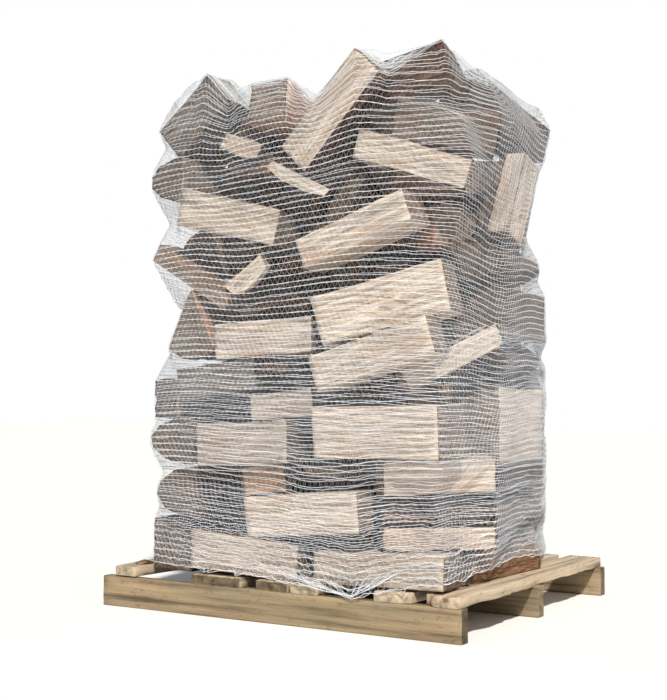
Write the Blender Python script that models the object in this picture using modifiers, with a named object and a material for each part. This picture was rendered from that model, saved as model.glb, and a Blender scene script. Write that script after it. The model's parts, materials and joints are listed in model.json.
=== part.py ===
"""A pallet of split firewood, wrapped in a knitted net.

The pallet stands on three stringers that run along X, with six deck boards
across them. Logs about 0.40 m long fill the deck: a front row that lies along
X, a left and a right column that lie front to back, corner logs turned in
between, loose logs on top, and the inner and back bays behind them. A net is
wound tight round the whole load.
"""

import math
import random

import bmesh
import bpy
import numpy as np
from mathutils import Matrix, Vector

COLLECTION = "pallet_of_firewood"
CUTTERS = "joined_logs_and_cutters"

# Pallet, in metres
PALLET_LENGTH = 1.219
PALLET_DEPTH = 1.016
STRINGER_THICK = 0.038
STRINGER_HIGH = 0.089
BOARD_THICK = 0.028
GAP = 0.0003
DECK_TOP = STRINGER_HIGH + GAP + BOARD_THICK

# Each board: name, left edge, right edge
BOARDS = (
    ("deck_board_1", -0.595, -0.485),
    ("deck_board_2", -0.270, -0.093),
    ("deck_board_3", -0.038, 0.070),
    ("deck_board_4", 0.080, 0.168),
    ("deck_board_5", 0.348, 0.453),
    ("deck_board_6", 0.492, 0.609),
)

# A round log is drawn with this many sides, too long by a share, with one radius
# at its first end and one between two at the other, and rolled by up to half a
# radian. It is split next, brought to its size and then cut with the saw
LOG_SIDES = 12
ROUGH_LENGTH = 1.3
FIRST_RADIUS = 0.5
LAST_RADIUS = (0.45, 0.5)
ROLL = 0.5
END_SLANT = 0.05
# A log that lies less than this above another comes down onto it
SETTLE = 0.025

# Splits of a round log: each cut faces an angle, measured in the section from
# the pile's inside (0) up (90) to the front (180), and lies a share of the
# radius from the pith
SPLITS = {
    "half": ((180, 0.0),),
    "quarter": ((180, 0.0), (270, 0.0)),
    "hood": ((180, 0.0), (90, 0.0)),
    "wedge": ((180, 0.0), (300, 0.1)),
    "slab": ((180, 0.35), (0, 0.35)),
    "block": ((180, 0.45), (0, 0.5), (92, 0.45), (268, 0.5)),
    "bark": ((0, 0.0),),
    "bark_sill": ((0, 0.15), (270, 0.25)),
    "roof": ((150, 0.0), (30, 0.0)),
    "keel": ((225, 0.0), (315, 0.0)),
    "flat_half": ((270, 0.0),),
}

# Logs that show, from the bottom up. The columns are: name, the middle of the
# visible face in X, Y and Z, length, depth, height, turn about Z, tilt of the
# right end up, split, finish
SHOWN_LOGS = (
    ("log_left_01", -0.450, -0.258, 0.195, 0.400, 0.150, 0.155, -90, 0, "quarter", "bark"),
    ("log_front_01", -0.095, -0.490, 0.181, 0.370, 0.140, 0.110, 0, -3, "quarter", "split"),
    ("log_front_02", 0.345, -0.486, 0.165, 0.390, 0.120, 0.092, 3, 1, "block", "split"),
    ("log_right_01", 0.538, -0.055, 0.170, 0.400, 0.130, 0.103, 86, 0, "bark_sill", "bark"),
    ("log_left_02", -0.445, -0.256, 0.350, 0.400, 0.150, 0.155, -90, 0, "bark", "weathered"),
    ("log_front_03", 0.100, -0.490, 0.306, 0.380, 0.080, 0.120, 0, 5, "block", "split"),
    ("log_front_04", -0.053, -0.450, 0.400, 0.140, 0.110, 0.085, 0, 8, "wedge", "split"),
    ("log_front_05", 0.465, -0.348, 0.250, 0.310, 0.095, 0.062, 42, 0, "slab", "split"),
    ("log_front_06", 0.466, -0.350, 0.324, 0.310, 0.095, 0.082, 42, 1, "bark_sill", "bark"),
    ("log_front_07", 0.465, -0.349, 0.416, 0.315, 0.095, 0.098, 42, 2, "block", "split"),
    ("log_right_02", 0.540, 0.035, 0.295, 0.340, 0.150, 0.130, 94, 2, "bark", "weathered"),
    ("log_right_03", 0.536, 0.035, 0.405, 0.330, 0.150, 0.085, 93, -1, "block", "bark"),
    ("log_left_03", -0.478, -0.250, 0.505, 0.420, 0.170, 0.150, -90, 0, "bark", "weathered"),
    ("log_front_08", -0.113, -0.480, 0.495, 0.325, 0.130, 0.126, 0, 3, "quarter", "split"),
    ("log_front_09", 0.339, -0.490, 0.553, 0.392, 0.150, 0.150, 0, 1, "block", "split"),
    ("log_right_04", 0.545, 0.010, 0.560, 0.360, 0.150, 0.215, 94, 0, "half", "split"),
    ("log_left_04", -0.450, -0.258, 0.645, 0.400, 0.085, 0.125, -90, 0, "slab", "bark"),
    ("log_front_10", -0.211, -0.470, 0.686, 0.280, 0.120, 0.095, 0, 7, "quarter", "weathered"),
    ("log_front_11", 0.020, -0.465, 0.616, 0.210, 0.120, 0.080, 0, 6, "block", "split"),
    ("log_front_12", 0.478, -0.290, 0.742, 0.310, 0.060, 0.070, 52, 26, "slab", "split"),
    ("log_front_13", 0.326, -0.490, 0.745, 0.380, 0.085, 0.110, 0, 16, "block", "split"),
    ("log_right_05", 0.540, 0.045, 0.740, 0.330, 0.150, 0.120, 95, 0, "bark", "bark"),
    ("log_left_05", -0.395, -0.262, 0.850, 0.400, 0.170, 0.210, -90, 0, "roof", "bark"),
    ("log_front_14", -0.040, -0.480, 0.805, 0.336, 0.130, 0.105, 0, 2, "hood", "split"),
    ("log_front_15", 0.340, -0.460, 0.892, 0.385, 0.130, 0.150, 9, 14, "block", "split"),
    ("log_right_06", 0.542, 0.040, 0.885, 0.350, 0.150, 0.150, 93, 0, "quarter", "weathered"),
    ("log_front_16", -0.020, -0.430, 0.910, 0.270, 0.095, 0.080, 0, 6, "bark", "bark"),
    ("log_front_17", -0.310, -0.460, 1.000, 0.310, 0.100, 0.062, 0, -31, "slab", "weathered"),
    ("log_right_07", 0.538, 0.045, 1.025, 0.320, 0.150, 0.120, 94, 0, "bark", "weathered"),
    ("log_left_06", -0.455, -0.195, 1.080, 0.290, 0.110, 0.150, -88, 0, "bark", "bark"),
    ("log_front_18", -0.158, -0.480, 1.160, 0.362, 0.130, 0.115, 0, -14, "quarter", "split"),
    ("log_front_19", 0.262, -0.480, 1.090, 0.366, 0.110, 0.095, 0, 18, "block", "split"),
    ("log_front_20", -0.025, -0.420, 1.010, 0.210, 0.090, 0.075, 0, 4, "bark", "bark"),
    ("log_front_21", 0.430, -0.445, 1.278, 0.340, 0.110, 0.085, 8, -19, "slab", "split"),
    ("log_front_22", 0.467, -0.311, 1.405, 0.290, 0.110, 0.120, 30, -10, "quarter", "weathered"),
    ("log_left_07", -0.485, -0.275, 1.290, 0.350, 0.130, 0.140, -90, 0, "bark", "bark"),
    ("log_front_23", 0.178, -0.460, 1.435, 0.350, 0.090, 0.120, 0, 46, "slab", "split"),
    ("log_front_24", -0.118, -0.280, 1.470, 0.300, 0.130, 0.130, -90, 8, "block", "bark"),
    ("log_front_25", -0.338, -0.420, 1.480, 0.240, 0.120, 0.130, 0, 40, "block", "weathered"),
    ("log_front_26", 0.340, -0.340, 1.545, 0.290, 0.130, 0.125, 10, 16, "quarter", "bark"),
    ("log_front_27", -0.080, -0.430, 1.310, 0.250, 0.095, 0.090, 0, -10, "bark", "bark"),
    ("log_right_08", 0.540, 0.045, 1.235, 0.270, 0.090, 0.100, 86, 66, "slab", "split"),
    ("log_right_09", 0.500, 0.040, 1.470, 0.380, 0.120, 0.120, 77, -19, "block", "weathered"),
    ("log_right_10", 0.390, -0.294, 1.105, 0.190, 0.130, 0.120, -45, 0, "half", "split"),
)

# Bays of joined logs that lie front to back, or along X where turned by 90:
# name, middle in X and Y, width, length of the logs, turn about Z, height of the
# fill, seed
BAYS = (
    ("logs_inner_left", -0.128, -0.133, 0.313, 0.385, 0, 1.53, 3),
    ("logs_inner_right", 0.196, -0.133, 0.316, 0.385, 0, 1.54, 5),
    ("logs_back_left", -0.128, 0.263, 0.313, 0.385, 0, 1.60, 11),
    ("logs_back_right", 0.190, 0.263, 0.385, 0.310, 90, 1.58, 13),
    ("logs_back_corner", -0.378, 0.170, 0.160, 0.390, 0, 1.52, 7),
    ("logs_right_corner", 0.418, 0.313, 0.084, 0.205, 12, 1.34, 17),
)
BAY_SPLITS = ("half", "quarter", "hood", "wedge", "slab", "block", "bark", "roof", "keel")
BAY_WIDTHS = (0.115, 0.165)
BAY_HEIGHTS = (0.095, 0.155)
SILL_HIGH = 0.120
BAY_TRIES = 7
BAY_REFUSALS = 12
# How far a log in a bay may tilt and turn: where laid, and in the tossed crown
LAID_SWAY = (1.5, 1.0)
TOSSED_SWAY = (9, 9)
TOSSED_HIGH = 0.38
# Joined logs press into each other by this much
PRESS = 0.005

# Net: a thin sleeve of taut rings that clears every log by its margin. It is cut
# off above a rim that hangs from tip to tip and falls from each by NET_SAG per
# metre. Its rings reach up to NET_TOP above the highest log
NET_MARGIN = 0.004
NET_THICK = 0.0025
NET_SIDES = 28
NET_LEVELS = 22
NET_FOOT = 0.1215
NET_TOP = 0.010
NET_SAG = 0.8
# From one ring to the next the net draws in by no more than this share
NET_LEAN = 0.07
# The tips are looked for in this many directions, at these shares of the way out
# to the net as it lies between two heights
RIM_SIDES = 56
RIM_SHARES = (0.64, 0.72, 0.80, 0.88, 0.93, 0.97)
RIM_SPAN = (1.15, 1.35)
# Directions count for each other's reach while the cosine between them is above
FACING_LEAST = 0.1
# The cutter above the rim: its inner and outer radius and its top
RIM_CUTTER = (0.15, 1.0, 1.8)

FINISHES = {
    "split": ((0.66, 0.50, 0.33), 0.80),
    "bark": ((0.20, 0.13, 0.09), 0.92),
    "weathered": ((0.38, 0.35, 0.31), 0.88),
    "pallet": ((0.50, 0.38, 0.21), 0.78),
    "net": ((0.86, 0.88, 0.92), 0.45),
}


def clear_scene():
    for thing in list(bpy.data.objects):
        bpy.data.objects.remove(thing, do_unlink=True)


def collection(name):
    group = bpy.data.collections.new(name)
    bpy.context.scene.collection.children.link(group)
    return group


def finish(name, kind):
    """A material of the piece's own, in the colour of its finish."""
    colour, roughness = FINISHES[kind]
    material = bpy.data.materials.new(name + "_" + kind)
    material.use_nodes = True
    shader = material.node_tree.nodes["Principled BSDF"]
    shader.inputs["Base Color"].default_value = (*colour, 1.0)
    shader.inputs["Roughness"].default_value = roughness
    shader.inputs["Metallic"].default_value = 0.0
    material.diffuse_color = (*colour, 1.0)
    return material


def add_piece(name, bm, kind, group):
    """Turn a bmesh into a named object with its own material."""
    bmesh.ops.recalc_face_normals(bm, faces=bm.faces)
    mesh = bpy.data.meshes.new(name)
    bm.to_mesh(mesh)
    bm.free()
    piece = bpy.data.objects.new(name, mesh)
    piece.data.materials.append(finish(name, kind))
    group.objects.link(piece)
    return piece


def cut(bm, point, normal):
    """Cut off what lies past a plane, and close the cut with a flat face."""
    geometry = bm.verts[:] + bm.edges[:] + bm.faces[:]
    made = bmesh.ops.bisect_plane(
        bm, geom=geometry, dist=1e-6, plane_co=point, plane_no=normal, clear_outer=True
    )
    rim = [e for e in made["geom_cut"] if isinstance(e, bmesh.types.BMEdge)]
    if rim:
        bmesh.ops.edgeloop_fill(bm, edges=rim)


def split_log(length, depth, height, split, draw):
    """A log along X with the middle of its front face at the origin."""
    bm = bmesh.new()
    along_x = Matrix.Rotation(math.radians(90), 4, "Y")
    bmesh.ops.create_cone(
        bm, cap_ends=True, segments=LOG_SIDES, radius1=FIRST_RADIUS,
        radius2=draw.uniform(*LAST_RADIUS), depth=length * ROUGH_LENGTH,
        matrix=along_x @ Matrix.Rotation(draw.uniform(0, ROLL), 4, "Z"),
    )
    for angle, share in SPLITS[split]:
        across = Vector((0, math.cos(math.radians(angle)), math.sin(math.radians(angle))))
        cut(bm, across * share * FIRST_RADIUS, across)
    low = [min(v.co[axis] for v in bm.verts) for axis in range(3)]
    high = [max(v.co[axis] for v in bm.verts) for axis in range(3)]
    size = (depth / (high[1] - low[1]), height / (high[2] - low[2]))
    bmesh.ops.translate(bm, verts=bm.verts, vec=(0, -low[1], -(low[2] + high[2]) / 2))
    bmesh.ops.scale(bm, verts=bm.verts, vec=(1, size[0], size[1]))
    for end in (-1, 1):
        slant = [draw.uniform(-END_SLANT, END_SLANT) for _ in range(2)]
        cut(bm, (end * length / 2, depth / 2, 0), (end, slant[0], slant[1]))
    return bm


class Solid:
    """The corners, edges and face planes of a convex log."""

    def __init__(self, bm):
        self.points = np.array([v.co for v in bm.verts])
        self.edges = np.array([[v.co for v in e.verts] for e in bm.edges])
        bm.normal_update()
        self.normals = np.array([f.normal for f in bm.faces])
        inside = np.array([f.calc_center_median() for f in bm.faces])
        self.offsets = (self.normals * inside).sum(axis=1)

    def lift(self, distance):
        self.points[:, 2] += distance
        self.edges[:, :, 2] += distance
        self.offsets += self.normals[:, 2] * distance

    def span(self, places):
        """Where upright lines enter and leave the solid, and which lines hit it."""
        room = self.offsets[None, :] - places @ self.normals[:, :2].T
        slope = self.normals[:, 2]
        up, down = slope > 1e-6, slope < -1e-6
        side = ~(up | down)
        leave = (room[:, up] / slope[up]).min(axis=1)
        enter = (room[:, down] / slope[down]).max(axis=1)
        return enter, leave, (enter <= leave) & (room[:, side] >= 0).all(axis=1)


def rise(above, below):
    """How far the upper solid has to go up to lie clear of the lower one."""
    if (above.points[:, :2].max(axis=0) <= below.points[:, :2].min(axis=0)).any():
        return -math.inf
    if (below.points[:, :2].max(axis=0) <= above.points[:, :2].min(axis=0)).any():
        return -math.inf
    found = [-math.inf]
    _, leave, hit = below.span(above.points[:, :2])
    found.extend((leave - above.points[:, 2])[hit])
    enter, _, hit = above.span(below.points[:, :2])
    found.extend((below.points[:, 2] - enter)[hit])
    start = above.edges[:, None, 0]
    run = above.edges[:, None, 1] - start
    base = below.edges[None, :, 0]
    way = below.edges[None, :, 1] - base
    turn = run[..., 0] * way[..., 1] - run[..., 1] * way[..., 0]
    apart = base - start
    with np.errstate(divide="ignore", invalid="ignore"):
        along = (apart[..., 0] * way[..., 1] - apart[..., 1] * way[..., 0]) / turn
        across = (apart[..., 0] * run[..., 1] - apart[..., 1] * run[..., 0]) / turn
        crossing = (along >= 0) & (along <= 1) & (across >= 0) & (across <= 1)
        step = (base[..., 2] + across * way[..., 2]) - (start[..., 2] + along * run[..., 2])
    found.extend(step[crossing])
    return max(found)


def set_log(bm, x, y, turn, tilt):
    """Turn a log and move the middle of its face over a place on the plan."""
    place = (
        Matrix.Translation((x, y, 0))
        @ Matrix.Rotation(math.radians(turn), 4, "Z")
        @ Matrix.Rotation(math.radians(-tilt), 4, "Y")
    )
    bmesh.ops.transform(bm, matrix=place, verts=bm.verts)


def settle(bm, z, others):
    """Put a log at its height, moved up or down just enough to miss the others.

    If another log then lies a little way below, it comes to rest on that one.
    """
    solid = Solid(bm)
    floor = DECK_TOP + GAP - solid.points[:, 2].min()
    taken = [(-math.inf, floor)]
    for other in others:
        high = rise(solid, other)
        if high > -math.inf:
            taken.append((-rise(other, solid) - GAP, high + GAP))
    ends = [z] + [end for pair in taken for end in pair]
    free = [h for h in ends if not any(low < h < high for low, high in taken)]
    height = min((h for h in free if h >= floor), key=lambda h: abs(h - z))
    props = [high for _, high in taken if height - SETTLE < high <= height]
    height = max(props, default=height)
    solid.lift(height)
    bmesh.ops.translate(bm, verts=bm.verts, vec=(0, 0, height))
    return solid


def shown_logs(group):
    """The logs that show, each its own piece."""
    lying = []
    for row in SHOWN_LOGS:
        name, x, y, z, length, depth, height, turn, tilt, split, kind = row
        bm = split_log(length, depth, height, split, random.Random(name))
        set_log(bm, x, y, turn, tilt)
        lying.append(settle(bm, z, lying))
        add_piece(name, bm, kind, group)
    return lying


def drop(bm, mates):
    """Lower a log onto the deck or into the logs it is joined to."""
    solid = Solid(bm)
    height = DECK_TOP + GAP - solid.points[:, 2].min()
    for mate in mates:
        height = max(height, rise(solid, mate) - PRESS)
    solid.lift(height)
    bmesh.ops.translate(bm, verts=bm.verts, vec=(0, 0, height))
    return solid


def misses(solid, others):
    """Whether a log stays clear of all the others."""
    return all(rise(solid, other) < -GAP or rise(other, solid) < -GAP for other in others)


def fill_bay(bay, others, cutters):
    """Drop logs into a bay, each where it lies lowest, and give them as pieces.

    The first is a wide half log that covers the bay's floor, so that all the
    others rest on it or on each other and the bay is one body. The last ones
    lie tossed.
    """
    name, x, y, width, length, turn, top, seed = bay
    draw = random.Random(seed)
    to_pile = Matrix.Translation((x, y, 0)) @ Matrix.Rotation(math.radians(turn), 4, "Z")
    mates, pieces = [], []
    refusals = 0
    shares = [0]
    log_width, height, split, tilt, swing = width, SILL_HIGH, "flat_half", 0, 0
    while refusals < BAY_REFUSALS:
        number = len(pieces)
        choices = []
        for share in shares:
            across = -width / 2 + log_width + share * (width - log_width)
            spot = to_pile @ Vector((across, 0, 0))
            log = split_log(length, log_width, height, split, random.Random(seed * 100 + number))
            set_log(log, spot.x, spot.y, 90 + turn + swing, tilt)
            solid = drop(log, mates)
            if misses(solid, others) and solid.points[:, 2].max() < top:
                choices.append((solid.points[:, 2].mean(), log, solid))
            else:
                log.free()
        if choices:
            choices.sort(key=lambda choice: choice[0])
            for _, spare, _ in choices[1:]:
                spare.free()
            mates.append(choices[0][2])
            pieces.append(add_piece(f"{name}_{number:02d}", choices[0][1], "split", cutters))
            refusals = 0
        else:
            refusals += 1
        tossed = mates[-1].points[:, 2].max() > top - TOSSED_HIGH
        sway = TOSSED_SWAY if tossed else LAID_SWAY
        log_width = min(draw.uniform(*BAY_WIDTHS), width)
        height = draw.uniform(*BAY_HEIGHTS)
        split = draw.choice(BAY_SPLITS)
        tilt = draw.uniform(-sway[0], sway[0])
        swing = draw.uniform(-sway[1], sway[1])
        shares = [k / (BAY_TRIES - 1) for k in range(BAY_TRIES)]
    return pieces, mates


def join(name, pieces, group):
    """One piece from logs that press into each other."""
    mesh = pieces[0].data.copy()
    mesh.name = name
    joined = bpy.data.objects.new(name, mesh)
    mesh.materials.clear()
    mesh.materials.append(finish(name, "split"))
    group.objects.link(joined)
    for piece in pieces[1:]:
        union = joined.modifiers.new(piece.name, "BOOLEAN")
        union.operation = "UNION"
        union.solver = "EXACT"
        union.object = piece
    return joined


def hide(pieces):
    for piece in pieces:
        piece.hide_render = True
        piece.display_type = "WIRE"


def box(low, high):
    """A sawn board as a box between two corners."""
    bm = bmesh.new()
    bmesh.ops.create_cube(bm, size=1.0)
    size = [b - a for a, b in zip(low, high)]
    middle = [(a + b) / 2 for a, b in zip(low, high)]
    bmesh.ops.scale(bm, verts=bm.verts, vec=size)
    bmesh.ops.translate(bm, verts=bm.verts, vec=middle)
    return bm


def pallet(group):
    """Three stringers on edge, and the deck boards across them."""
    middles = {
        "stringer_front": -(PALLET_DEPTH - STRINGER_THICK) / 2,
        "stringer_middle": 0.0,
        "stringer_back": (PALLET_DEPTH - STRINGER_THICK) / 2,
    }
    half = STRINGER_THICK / 2
    for name, y in middles.items():
        low = (-PALLET_LENGTH / 2, y - half, 0.0)
        high = (PALLET_LENGTH / 2, y + half, STRINGER_HIGH)
        add_piece(name, box(low, high), "pallet", group)
    for name, left, right in BOARDS:
        low = (left, -PALLET_DEPTH / 2, STRINGER_HIGH + GAP)
        high = (right, PALLET_DEPTH / 2, DECK_TOP)
        add_piece(name, box(low, high), "pallet", group)


def reach(solids, low, high, directions):
    """How far the load reaches each way between two heights."""
    starts = np.concatenate([s.edges[:, 0] for s in solids])
    ends = np.concatenate([s.edges[:, 1] for s in solids])
    swap = starts[:, 2] > ends[:, 2]
    starts[swap], ends[swap] = ends[swap].copy(), starts[swap].copy()
    meets = (starts[:, 2] <= high) & (ends[:, 2] >= low)
    starts, ends = starts[meets], ends[meets]
    run = np.maximum(ends[:, 2] - starts[:, 2], 1e-9)
    first = np.clip((low - starts[:, 2]) / run, 0, 1)[:, None]
    last = np.clip((high - starts[:, 2]) / run, 0, 1)[:, None]
    inside = np.concatenate([starts + (ends - starts) * first, starts + (ends - starts) * last])
    return (inside[:, :2] @ directions.T).max(axis=0)


def compass(count):
    """Level directions, evenly spread round the load."""
    angles = [2 * math.pi * k / count for k in range(count)]
    return np.array([(math.cos(a), math.sin(a)) for a in angles])


def loft(rings, closed):
    """A skin over rings of points, from each ring to the next."""
    bm = bmesh.new()
    rows = [[bm.verts.new(point) for point in ring] for ring in rings]
    pairs = list(zip(rows, rows[1:]))
    if closed:
        pairs.append((rows[-1], rows[0]))
    for lower, upper in pairs:
        for k in range(len(lower)):
            beside = (k + 1) % len(lower)
            bm.faces.new((lower[k], lower[beside], upper[beside], upper[k]))
    return bm


def rim_heights(solids, directions):
    """The height of the net's upper edge in each direction from the middle."""
    far = reach(solids, *RIM_SPAN, directions)
    facing = np.maximum(directions @ directions.T, FACING_LEAST)
    edge = (far[:, None] / facing).min(axis=0)[:, None] * directions
    spots = (edge[:, None, :] * np.array(RIM_SHARES)[None, :, None]).reshape(-1, 2)
    crest = np.full(len(spots), NET_FOOT)
    for solid in solids:
        _, leave, hit = solid.span(spots)
        crest[hit] = np.maximum(crest[hit], leave[hit])
    crest = crest.reshape(len(edge), -1).max(axis=1)
    apart = np.linalg.norm(edge[:, None] - edge[None, :], axis=2)
    return (crest[None, :] - NET_SAG * apart).max(axis=1) + NET_MARGIN


def net(solids, group, cutters):
    """The wound net: at each height a taut ring round the logs, lofted upwards and
    cut off above the rim."""
    crown = max(s.points[:, 2].max() for s in solids)
    step = (crown + NET_TOP - NET_FOOT) / (NET_LEVELS - 1)
    directions = compass(NET_SIDES)
    levels = [NET_FOOT + level * step for level in range(NET_LEVELS)]
    fars = [
        reach(solids, min(z - step, crown - step), z + step, directions) + NET_MARGIN
        for z in levels
    ]
    for level in range(1, NET_LEVELS):
        fars[level] = np.maximum(fars[level], fars[level - 1] * (1 - NET_LEAN))
    for level in reversed(range(NET_LEVELS - 1)):
        fars[level] = np.maximum(fars[level], fars[level + 1] * (1 - NET_LEAN))
    rings = []
    for z, far in zip(levels, fars):
        ring = []
        for k in range(NET_SIDES):
            pair = [k, (k + 1) % NET_SIDES]
            corner = np.linalg.solve(directions[pair], far[pair])
            ring.append((corner[0], corner[1], z))
        rings.append(ring)
    sleeve = add_piece("net", loft(rings, False), "net", group)
    wall = sleeve.modifiers.new("wall", "SOLIDIFY")
    wall.thickness = NET_THICK
    wall.offset = 1.0
    directions = compass(RIM_SIDES)
    rim = rim_heights(solids, directions)
    inner, outer, top = RIM_CUTTER
    around = [
        [(*(way * radius), height) for way, height in zip(directions, heights)]
        for radius, heights in (
            (inner, rim), (outer, rim), (outer, [top] * RIM_SIDES), (inner, [top] * RIM_SIDES)
        )
    ]
    above = add_piece("above_rim", loft(around, True), "net", cutters)
    trim = sleeve.modifiers.new("trim", "BOOLEAN")
    trim.operation = "DIFFERENCE"
    trim.solver = "EXACT"
    trim.object = above
    hide([above])


def main():
    clear_scene()
    group = collection(COLLECTION)
    cutters = collection(CUTTERS)
    pallet(group)
    solids = shown_logs(group)
    for bay in BAYS:
        pieces, mates = fill_bay(bay, solids, cutters)
        join(bay[0], pieces, group)
        hide(pieces)
        solids.extend(mates)
    net(solids, group, cutters)


if __name__ == "__main__":
    main()
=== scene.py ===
"""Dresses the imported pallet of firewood: split logs, sawn pallet timber and a wound net.

Each log keeps the place and the flats of its solid, and gets torn grain, ridged
bark and sawn ends. The net is made of knitted chains that run round the load,
with thin stitches that zigzag between them.
"""

import json
import math
import random

import bmesh
import bpy
import numpy as np
from mathutils import Matrix, Vector, noise
from mathutils.bvhtree import BVHTree
from mathutils.kdtree import KDTree


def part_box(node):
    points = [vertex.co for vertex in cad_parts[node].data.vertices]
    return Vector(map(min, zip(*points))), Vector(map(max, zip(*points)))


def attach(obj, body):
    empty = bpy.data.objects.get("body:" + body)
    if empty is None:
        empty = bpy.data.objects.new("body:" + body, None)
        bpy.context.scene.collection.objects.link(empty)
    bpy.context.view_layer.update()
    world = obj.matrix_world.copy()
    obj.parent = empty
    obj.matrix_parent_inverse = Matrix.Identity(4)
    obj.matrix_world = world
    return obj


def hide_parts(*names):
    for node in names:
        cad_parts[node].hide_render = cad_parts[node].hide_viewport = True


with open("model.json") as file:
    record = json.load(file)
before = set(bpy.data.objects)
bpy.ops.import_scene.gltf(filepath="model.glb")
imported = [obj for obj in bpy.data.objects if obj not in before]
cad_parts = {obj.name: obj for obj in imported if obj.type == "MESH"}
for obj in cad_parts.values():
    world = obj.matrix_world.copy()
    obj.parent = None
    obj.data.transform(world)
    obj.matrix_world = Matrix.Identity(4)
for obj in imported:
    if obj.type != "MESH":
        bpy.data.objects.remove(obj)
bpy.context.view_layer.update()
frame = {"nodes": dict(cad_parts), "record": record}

bl_info = {
    "name": "Pallet of Firewood",
    "version": (1, 0, 0),
    "blender": (4, 5, 0),
    "location": "View3D > Sidebar > Firewood",
    "description": "Split logs on a timber pallet, held by a wound net",
    "category": "Object",
}

UP = Vector((0, 0, 1))

# How light the wood of some logs is, from 0 to 1; the others are drawn at random. The low tones of
# the log_left_ logs are partly their own colour and partly painted shade on their ends, which face
# the front
LOG_TONES = {
    "log_front_01": 0.60, "log_front_02": 0.55, "log_front_03": 0.90, "log_front_05": 0.70,
    "log_front_06": 0.10, "log_front_07": 0.95, "log_front_08": 0.45, "log_front_09": 0.85,
    "log_front_10": 0.45, "log_front_12": 1.00, "log_front_13": 0.92, "log_front_14": 0.80,
    "log_front_15": 0.90, "log_front_16": 0.00, "log_front_18": 0.60, "log_front_19": 0.85,
    "log_front_20": 0.00, "log_front_21": 0.70, "log_front_22": 0.30, "log_front_23": 0.75,
    "log_front_25": 0.30, "log_front_26": 0.00, "log_front_27": 0.30, "log_right_03": 0.10,
    "log_right_04": 1.00, "log_right_05": 0.00, "log_right_06": 0.25, "log_right_07": 0.20,
    "log_right_08": 0.85, "log_right_09": 0.00, "log_right_10": 0.80, "log_left_01": 0.40,
    "log_left_02": 0.20, "log_left_03": 0.30, "log_left_04": 0.20, "log_left_05": 0.45,
    "log_left_06": 0.20, "log_left_07": 0.15,
}
# Inner logs are drawn this dark to paint the shade in the gaps between the outer logs
INNER_PAINTED_SHADE_TONES = (0.0, 0.12)
OTHER_TONES = (0.45, 1.0)

# How far some logs have turned to the warm brown of the wood under the bark, from 0 to 1
LOG_WARMTH = {
    "log_front_04": 0.50, "log_front_05": 0.20, "log_front_17": 0.35, "log_front_22": 0.20,
    "log_front_24": 0.55, "log_front_26": 0.35, "log_right_01": 0.85, "log_right_02": 0.70,
    "log_right_06": 0.45, "log_right_07": 0.40, "log_right_09": 0.20, "log_right_10": 0.95,
    "log_left_02": 0.80, "log_left_05": 0.60, "log_left_06": 0.30,
}
INNER_WARMTH = (0.0, 0.9)

# Which finish a face of a log has, as its place in the list of materials
SPLIT, BARK, SAWN, GREY = range(4)
SLOT_FINISH = {"split_wood": SPLIT, "bark_wood": BARK, "weathered_wood": GREY}
NODE_SLOT = {part["node"]: part["material_slot"] for part in frame["record"]["subparts"]}

# Slack in finding and cutting the logs: for points in one place, on a cut, and on a face
SAME_POINT = 1e-5
ON_CUT = 1e-6
ON_FACE = 3e-4
NEAR_POINT = 2e-4
# A face belongs to a log across an edge that is folded in by less than this, in radians
FOLDED_IN = -0.01
# Faces with less area than this together aren't a log
LEAST_SURFACE = 0.02
# A face is a sawn end, or looks out of the load, when it turns that way by this much
END_FACING = 0.75
OUT_FACING = 0.45
# A side this wide beside the widest was torn by the axe, and a narrower one kept its bark
TORN_WIDTH = 0.6
PITH_DEPTH = 0.8
# The narrow ring round a sawn end, where splinters and bark break off
FRAY = 0.0045
# Slices across a log and the longest edge of its mesh: for shown, back and inner logs
SHOWN_MESH = (20, 0.0065)
BACK_MESH = (14, 0.011)
INNER_MESH = (8, 0.02)


class LogSettings(bpy.types.PropertyGroup):
    """Sizes and colours of the logs."""

    grain_relief: bpy.props.FloatProperty(
        name="Grain relief", description="Height of the torn ripples on a split face",
        default=0.0032, min=0.0, max=0.01, unit="LENGTH",
    )
    bark_relief: bpy.props.FloatProperty(
        name="Bark relief", description="Height of the ridges of the bark",
        default=0.0042, min=0.0, max=0.015, unit="LENGTH",
    )
    bow: bpy.props.FloatProperty(
        name="Bow", description="How far a log wanders from a straight line",
        default=0.0035, min=0.0, max=0.02, unit="LENGTH",
    )
    split_colour: bpy.props.FloatVectorProperty(
        name="Split wood", description="Colour of fresh split wood", subtype="COLOR",
        default=(0.81, 0.685, 0.565), min=0.0, max=1.0,
    )
    # Partly the bark's own dark colour and partly painted shade on the barked sides, which face into
    # the gaps between logs
    bark_colour_and_shade: bpy.props.FloatVectorProperty(
        name="Bark", description="Colour of the bark's ridges", subtype="COLOR",
        default=(0.105, 0.064, 0.046), min=0.0, max=1.0,
    )
    grey_colour: bpy.props.FloatVectorProperty(
        name="Weathered wood", description="Colour of wood greyed by weather", subtype="COLOR",
        default=(0.37, 0.325, 0.28), min=0.0, max=1.0,
    )
    # The end grain's own colour, made darker to paint the shade that the logs' sawn ends stand in
    sawn_colour_and_shade: bpy.props.FloatVectorProperty(
        name="Sawn end", description="Colour of the sawn end grain", subtype="COLOR",
        default=(0.21, 0.155, 0.115), min=0.0, max=1.0,
    )


class PalletSettings(bpy.types.PropertyGroup):
    """Sizes and colours of the pallet."""

    timber_colour: bpy.props.FloatVectorProperty(
        name="Timber", description="Colour of the sawn timber", subtype="COLOR",
        default=(0.43, 0.318, 0.192), min=0.0, max=1.0,
    )
    wane: bpy.props.FloatProperty(
        name="Wane", description="How far the right board's outer edge wanders in",
        default=0.022, min=0.0, max=0.05, unit="LENGTH",
    )
    nail_diameter: bpy.props.FloatProperty(
        name="Nail head", description="Diameter of the nail heads",
        default=0.0085, min=0.004, max=0.02, unit="LENGTH",
    )


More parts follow.
